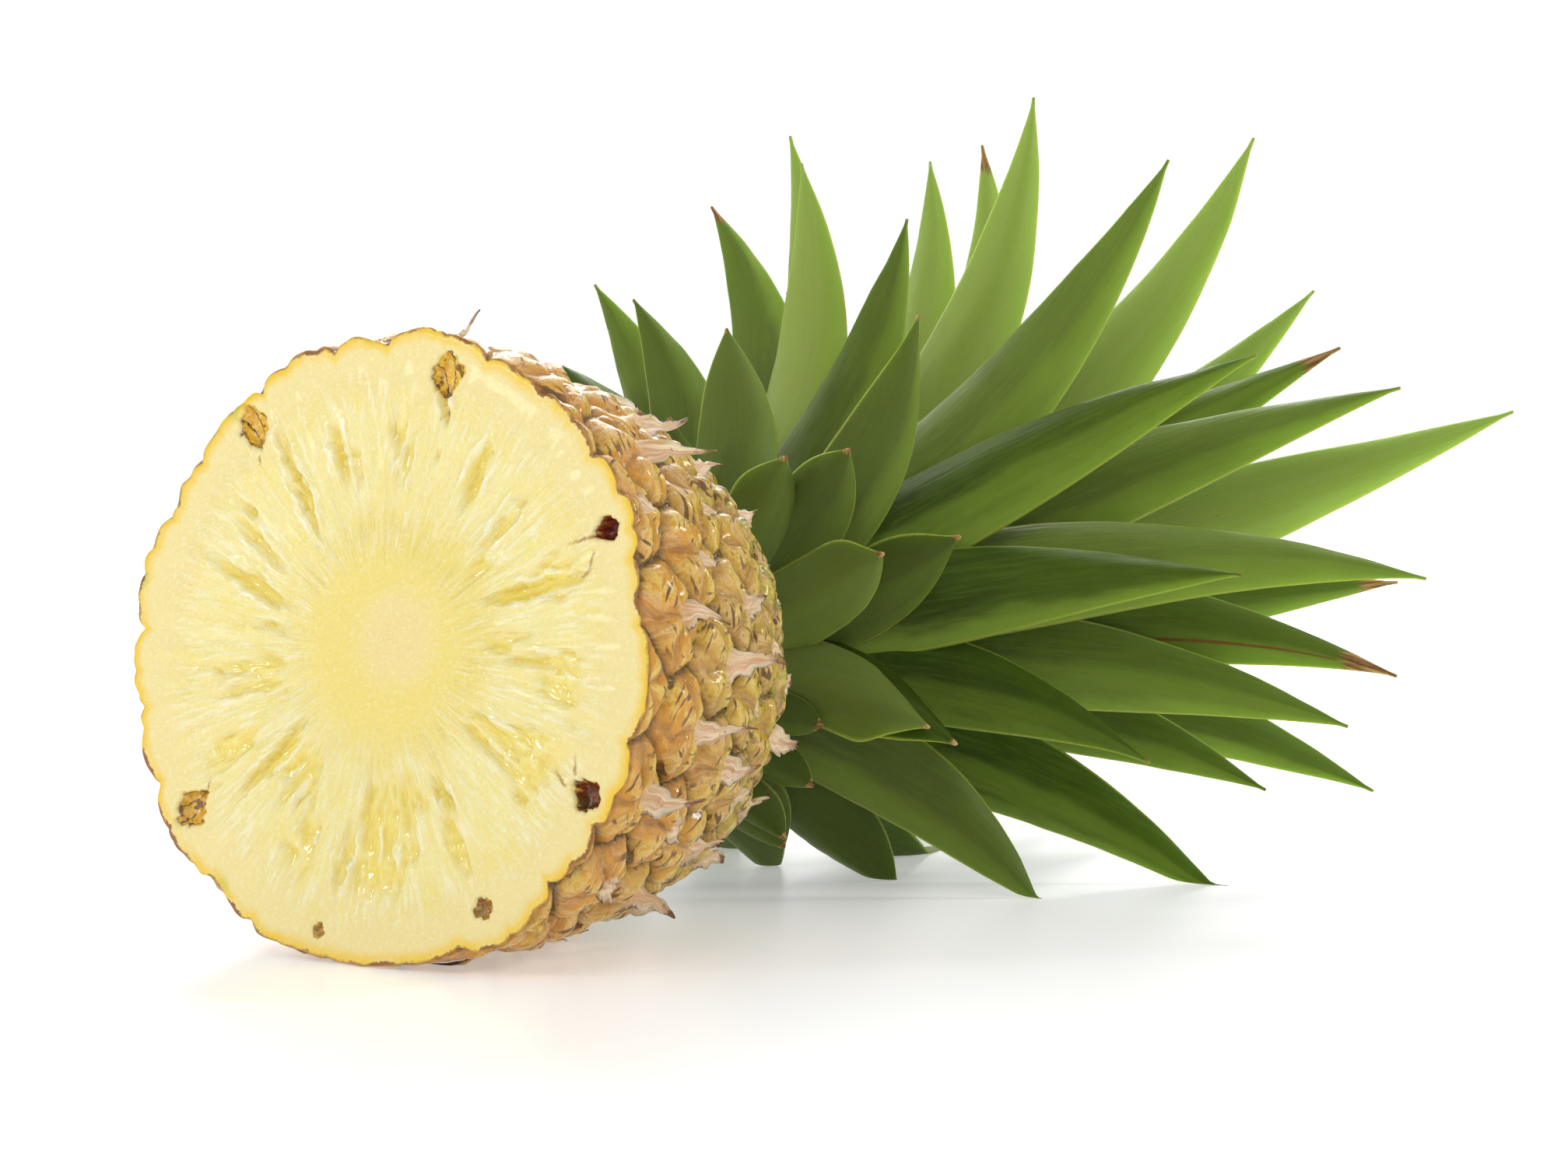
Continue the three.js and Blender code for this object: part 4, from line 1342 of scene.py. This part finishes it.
def leaf_material():
    material, tree, shader = new_material("crown_leaf_skin")
    side, share, width_place = (carried(tree, "blade_" + name) for name in ("side", "share", "across"))
    length, luck, pale, dry, deep, striped = (
        carried(tree, "leaf_" + name) for name in ("length", "luck", "pale", "dry", "deep", "stripe")
    )
    run = share * length
    offset = luck * 37.0

    def lengthwise(across, along, start, detail, roughness):
        """Noise drawn out along the leaf, which starts elsewhere on each leaf."""
        place = join_parts(tree, width_place * across, run * along, offset + start)
        return noise(place, 1.0, detail, roughness)

    veins = lengthwise(VEINS, 9.0, 0.0, 3.0, 0.65)
    broad = lengthwise(240.0, 7.0, 9.0, 3.0, 0.5)
    blotches = lengthwise(330.0, 5.0, 21.0, 4.0, 0.6)
    specks = lengthwise(SPECKS, SPECKS, 0.0, 2.0, 0.5)

    # deep darkens the short low leaves, partly as their own darker green and partly as painted shade
    # among the other leaves. lively keeps the lighter coats off them.
    lively = 1.0 - deep
    # flank: one side of every leaf, the side towards the lamps, is painted lighter as painted light
    flank = (side + (broad - 0.5) * 0.6).between(0.25, 0.95)
    band_place = side - (luck * 2.0 - 1.0) * 0.5 + (broad - 0.5) * 0.3
    band = band_place.between(0.1, 0.4) * band_place.between(0.9, 0.6)
    bloom = blotches.between(0.45, 0.7) * share.between(0.75, 0.15)
    edge = side.math("ABSOLUTE").between(0.93, 0.985)
    line_place = (side - 0.42 + (blotches - 0.5) * 0.12).math("ABSOLUTE")
    brown_line = line_place.between(0.07, 0.02) * share.between(0.3, 0.42)
    tip_start = 1.0 - dry + (blotches - 0.5) * dry * 0.9
    withered = (share - tip_start).between(0.0, 0.02)
    straw = mixed(veins.between(0.4, 0.65), "#7a5230", "#bd9a68")
    green = coated(
        mixed(broad.between(0.3, 0.72), "#203304", "#375209"),
        # darker at the root and lighter towards the tip: painted shade deep inside the crown
        (share.between(0.2, 0.95) * 0.5, "#688420"),            # lighter towards the tip
        (veins.between(0.42, 0.66) * 0.3, "#6b8220"),
        # the short low leaves darkened: partly their own colour, partly painted shade
        (deep, "#1c2a04"),
        (pale, "#b6cb68"),
        # the lit side painted lighter: painted light
        (flank * lively * 0.55, "#97b244"),
        (band * 0.45 * lively, "#86a038"),
        (bloom * 0.35 * lively, "#809c46"),
        (edge * specks.between(0.3, 0.6, 0.2, 0.6), "#a3ad4a"),
        (edge * specks.between(0.66, 0.74) * 0.7, "#7a4320"),   # red-brown dots
        (share.between(0.08, 0.0) * 0.4, "#b3b97a"),            # pale at the root
        (brown_line * blotches.between(0.3, 0.5) * striped * 0.85, "#7c4a2a"),
        (withered, straw),
    )
    dress(tree, shader, {
        "Base Color": green,
        "Normal": relief(veins * 0.8 + broad * 0.6 + specks * 0.15, 0.4 * MM, 0.6),
        "Roughness": blotches.between(0.35, 0.7, 0.36, 0.52) + withered * 0.2,
        "Specular IOR Level": 0.07,
        "Subsurface Weight": 0.45,
        "Subsurface Radius": (0.75, 1.0, 0.22),
        "Subsurface Scale": 1.6 * MM,
    })
    return material


leaf_skin = leaf_material()
print("leaf material nodes:", len(leaf_skin.node_tree.nodes))

# %% [markdown]
# Each leaf is then grown from its row in the list. Long leaves are wider, and short ones are
# blunter and folded deeper. Short ones are also darker, partly by their own colour and partly
# by painted shade, as they sit low among the others. A few are pale because light comes
# through them, some have a withered tip, and one has a brown stripe. All the rest is left to
# that leaf's chance.

# %% Grow the leaves
LEAF_SHORT_WIDTH, LEAF_WIDTH_GAIN = 15.5, 0.055       # mm, and mm for each mm of length
CHANNEL, SHORT_CHANNEL = 0.23, 0.33                   # depth as a share of the width
POINT, SHORT_POINT = 1.7, 4.0
# how dark a leaf is painted: its own deeper green, and painted shade on the short low leaves
LEAF_DARK_AND_SHADE, SHORT_LEAF_DARK_AND_SHADE = 0.12, 0.8
EDGE_WAVE, EDGE_WAVE_GAIN = 0.0004, 0.000006
PALE, LESS_PALE = 0.6, 0.25
DRY_LENGTH = 1.6                                      # mm of dry point on an ordinary leaf
DRY_TIPS = {38: 0.05, 58: 0.06, 51: 0.07, 57: 0.06, 40: 0.09}    # share of the leaf that is dry
PALE_LEAVES = {45, 47, 54, 50, 58, 41, 46, 34, 52, 55}
STRIPED_LEAF = 40
leaf_random = np.random.default_rng(17)


def by_length(length, long, short, usual, at_short):
    """The usual value for leaves over the first length, and the other below the second."""
    return usual + (at_short - usual) * float(smoothstep(length, long, short))


def grow_leaf(name, leaf, number, paleness, width_share=1.0):
    """Grows one blade on the midline that those five numbers give."""
    length = leaf[3]
    line, radial = leaf_midline(*leaf)
    mesh = bpy.data.meshes.new(name + "_line")
    edges = [(k, k + 1) for k in range(MIDLINE_STEPS)]
    mesh.from_pydata((line * MM).tolist(), edges, [])
    put(mesh, "radial", radial, "FLOAT_VECTOR")
    piece = grown(name, mesh, blade_tree, {
        "Widest": (LEAF_SHORT_WIDTH + LEAF_WIDTH_GAIN * length) * width_share * MM,
        "Channel": by_length(length, 100, 50, CHANNEL, SHORT_CHANNEL),
        "Edge wave": EDGE_WAVE + EDGE_WAVE_GAIN * length,
        "Point power": by_length(length, 95, 45, POINT, SHORT_POINT),
        "Seed": float(number),
        "Material": leaf_skin,
    })
    marks = {
        "leaf_length": length * MM * 10,
        "leaf_luck": leaf_random.random(),
        "leaf_pale": paleness,
        # how dark it is painted: partly its own colour, partly painted shade on short low leaves
        "leaf_deep": by_length(length, 150, 45, LEAF_DARK_AND_SHADE, SHORT_LEAF_DARK_AND_SHADE),
        "leaf_stripe": float(number == STRIPED_LEAF),
        "leaf_dry": DRY_TIPS.get(number, DRY_LENGTH / length),
    }
    for mark, value in marks.items():
        put(piece.data, mark, np.full(len(piece.data.vertices), value))
    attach(piece, "root")
    return piece


for number, leaf in enumerate(LEAVES, start=1):
    paleness = PALE if number in PALE_LEAVES else LESS_PALE * leaf_random.random()
    piece = grow_leaf(f"leaf_{number:02d}_blade", leaf, number, paleness)
    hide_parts(f"leaf_{number:02d}")

print("leaves:", number, "faces of one:", len(piece.data.polygons))
print("last leaf's volume in cm3:", round(volume_of(piece.data), 2))

# %% [markdown]
# ## Youngest and oldest leaves
# In the heart of a crown the youngest leaves stand in a tight tuft around the stem's tip, and
# at its foot a collar of small leaves hides the stem. They are too small for nodes of their
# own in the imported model, and grow on the same tree as the others, from two short rules.

# %% Heart and collar
HEART_LEAVES, COLLAR_LEAVES = 11, 9
HEART_PALE, COLLAR_PALE = 0.45, 0.1
HEART_WIDTH, COLLAR_WIDTH = 0.75, 0.62                # shares of the usual width
HEART_SEED, COLLAR_SEED = 101, 201
for k in range(HEART_LEAVES):
    # turn, height, lean, length and sway, as in the list: the youngest are short and upright
    young = (math.degrees(GOLDEN_ANGLE) * k, 0.9 + 0.01 * k, 40 - 8 * k, 74 - 3.6 * k, 0)
    grow_leaf(f"heart_leaf_{k + 1:02d}", young, HEART_SEED + k, HEART_PALE, HEART_WIDTH)
for k in range(COLLAR_LEAVES):
    # only on the near and lower side, where the listed leaves leave the foot bare
    small = (105 + 19 * k, 0.0, 62, 24 + 3 * (k % 3), 0)
    grow_leaf(f"collar_leaf_{k + 1:02d}", small, COLLAR_SEED + k, COLLAR_PALE, COLLAR_WIDTH)
print("heart leaves:", HEART_LEAVES, "collar leaves:", COLLAR_LEAVES)

# %% [markdown]
# ## Floor and light
# The fruit lies on plain white in soft light. A real sweep of paper could be modelled, with
# its curve behind, but it would show as an edge in other views. A flat floor that glows a
# little does the same: it stays white to the horizon, and shadows still fall on it.

# %% Floor
FLOOR_SIZE = 60.0
FLOOR_GREY, FLOOR_ROUGHNESS = 0.85, 0.3
GLOW_NEAR, GLOW_FAR = 0.32, 0.52      # the far floor glows more, and meets the white without a line
WHITE = (1, 1, 1, 1)
floor_mesh = bpy.data.meshes.new("floor")
corners = [(x * FLOOR_SIZE, y * FLOOR_SIZE, 0) for x, y in ((-1, -1), (1, -1), (1, 1), (-1, 1))]
floor_mesh.from_pydata(corners, [], [(0, 1, 2, 3)])
floor_material, floor_tree, floor_shader = new_material("pale_floor")
floor_place = add(floor_tree, "ShaderNodeTexCoord", output="Object")
from_middle = floor_place.vector("LENGTH", output="Value")
dress(floor_tree, floor_shader, {
    "Base Color": (FLOOR_GREY, FLOOR_GREY, FLOOR_GREY, 1),
    "Roughness": FLOOR_ROUGHNESS,
    "Emission Color": WHITE,
    "Emission Strength": from_middle.between(0.14, 0.9, GLOW_NEAR, GLOW_FAR),
})
floor_mesh.materials.append(floor_material)
floor = new_piece("floor", floor_mesh)
floor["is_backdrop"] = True
print("floor is", 2 * FLOOR_SIZE, "m wide")

# %% [markdown]
# The key lamp is high on the cut face's side. A small one gives the glints of juice, a broad
# one behind makes the leaves glow, and one at the crown's side draws the rind's relief. The
# white world fills the shadows, and looks a little brighter to the camera than to the fruit,
# so that the background is clean white while the fruit is not washed out.

# %% Light
LAMPS = {
    # place and aim in metres, then size in metres and power in watts
    "key": ((-0.9, -0.25, 0.95), (0.0, 0.0, 0.06), 0.5, 2.8),
    "juice_glints": ((-1.0, 0.65, 0.5), (-0.02, 0.0, 0.06), 0.18, 2.4),
    "back": ((0.9, 0.6, 0.8), (0.1, 0.0, 0.08), 0.8, 12),
    "side": ((0.9, -1.0, 0.65), (0.08, 0.0, 0.06), 0.3, 6.0),
}
WORLD_LIGHT, WORLD_SEEN = 0.56, 1.05
for name, (place, aim, size, power) in LAMPS.items():
    lamp = bpy.data.objects.new(name, bpy.data.lights.new(name, "AREA"))
    lamp.data.size = size
    lamp.data.energy = power
    lamp.location = place
    lamp.rotation_mode = "QUATERNION"
    lamp.rotation_quaternion = (Vector(aim) - Vector(place)).to_track_quat("-Z", "Y")
    bpy.context.scene.collection.objects.link(lamp)

world = bpy.data.worlds.new("white_room")
world.use_nodes = True
bpy.context.scene.world = world
sky = world.node_tree.nodes["Background"]
sky.inputs["Color"].default_value = WHITE
seen = add(world.node_tree, "ShaderNodeLightPath", output="Is Camera Ray")
brightness = seen.between(0, 1, WORLD_LIGHT, WORLD_SEEN, smooth=False)
plug(world.node_tree, brightness, sky.inputs["Strength"])
bpy.context.scene.view_settings.view_transform = "Standard"
print("lamps:", len(LAMPS))

# %% [markdown]
# ## Last checks
# The imported model's box and the finished one are written side by side, so that a piece that
# grew too far is noticed.

# %% Finish
low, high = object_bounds()
grew_low = [round((cad - now) / MM, 1) for cad, now in zip(cad_low, low)]
grew_high = [round((now - cad) / MM, 1) for cad, now in zip(cad_high, high)]
print("box grew by mm:", grew_low, grew_high)
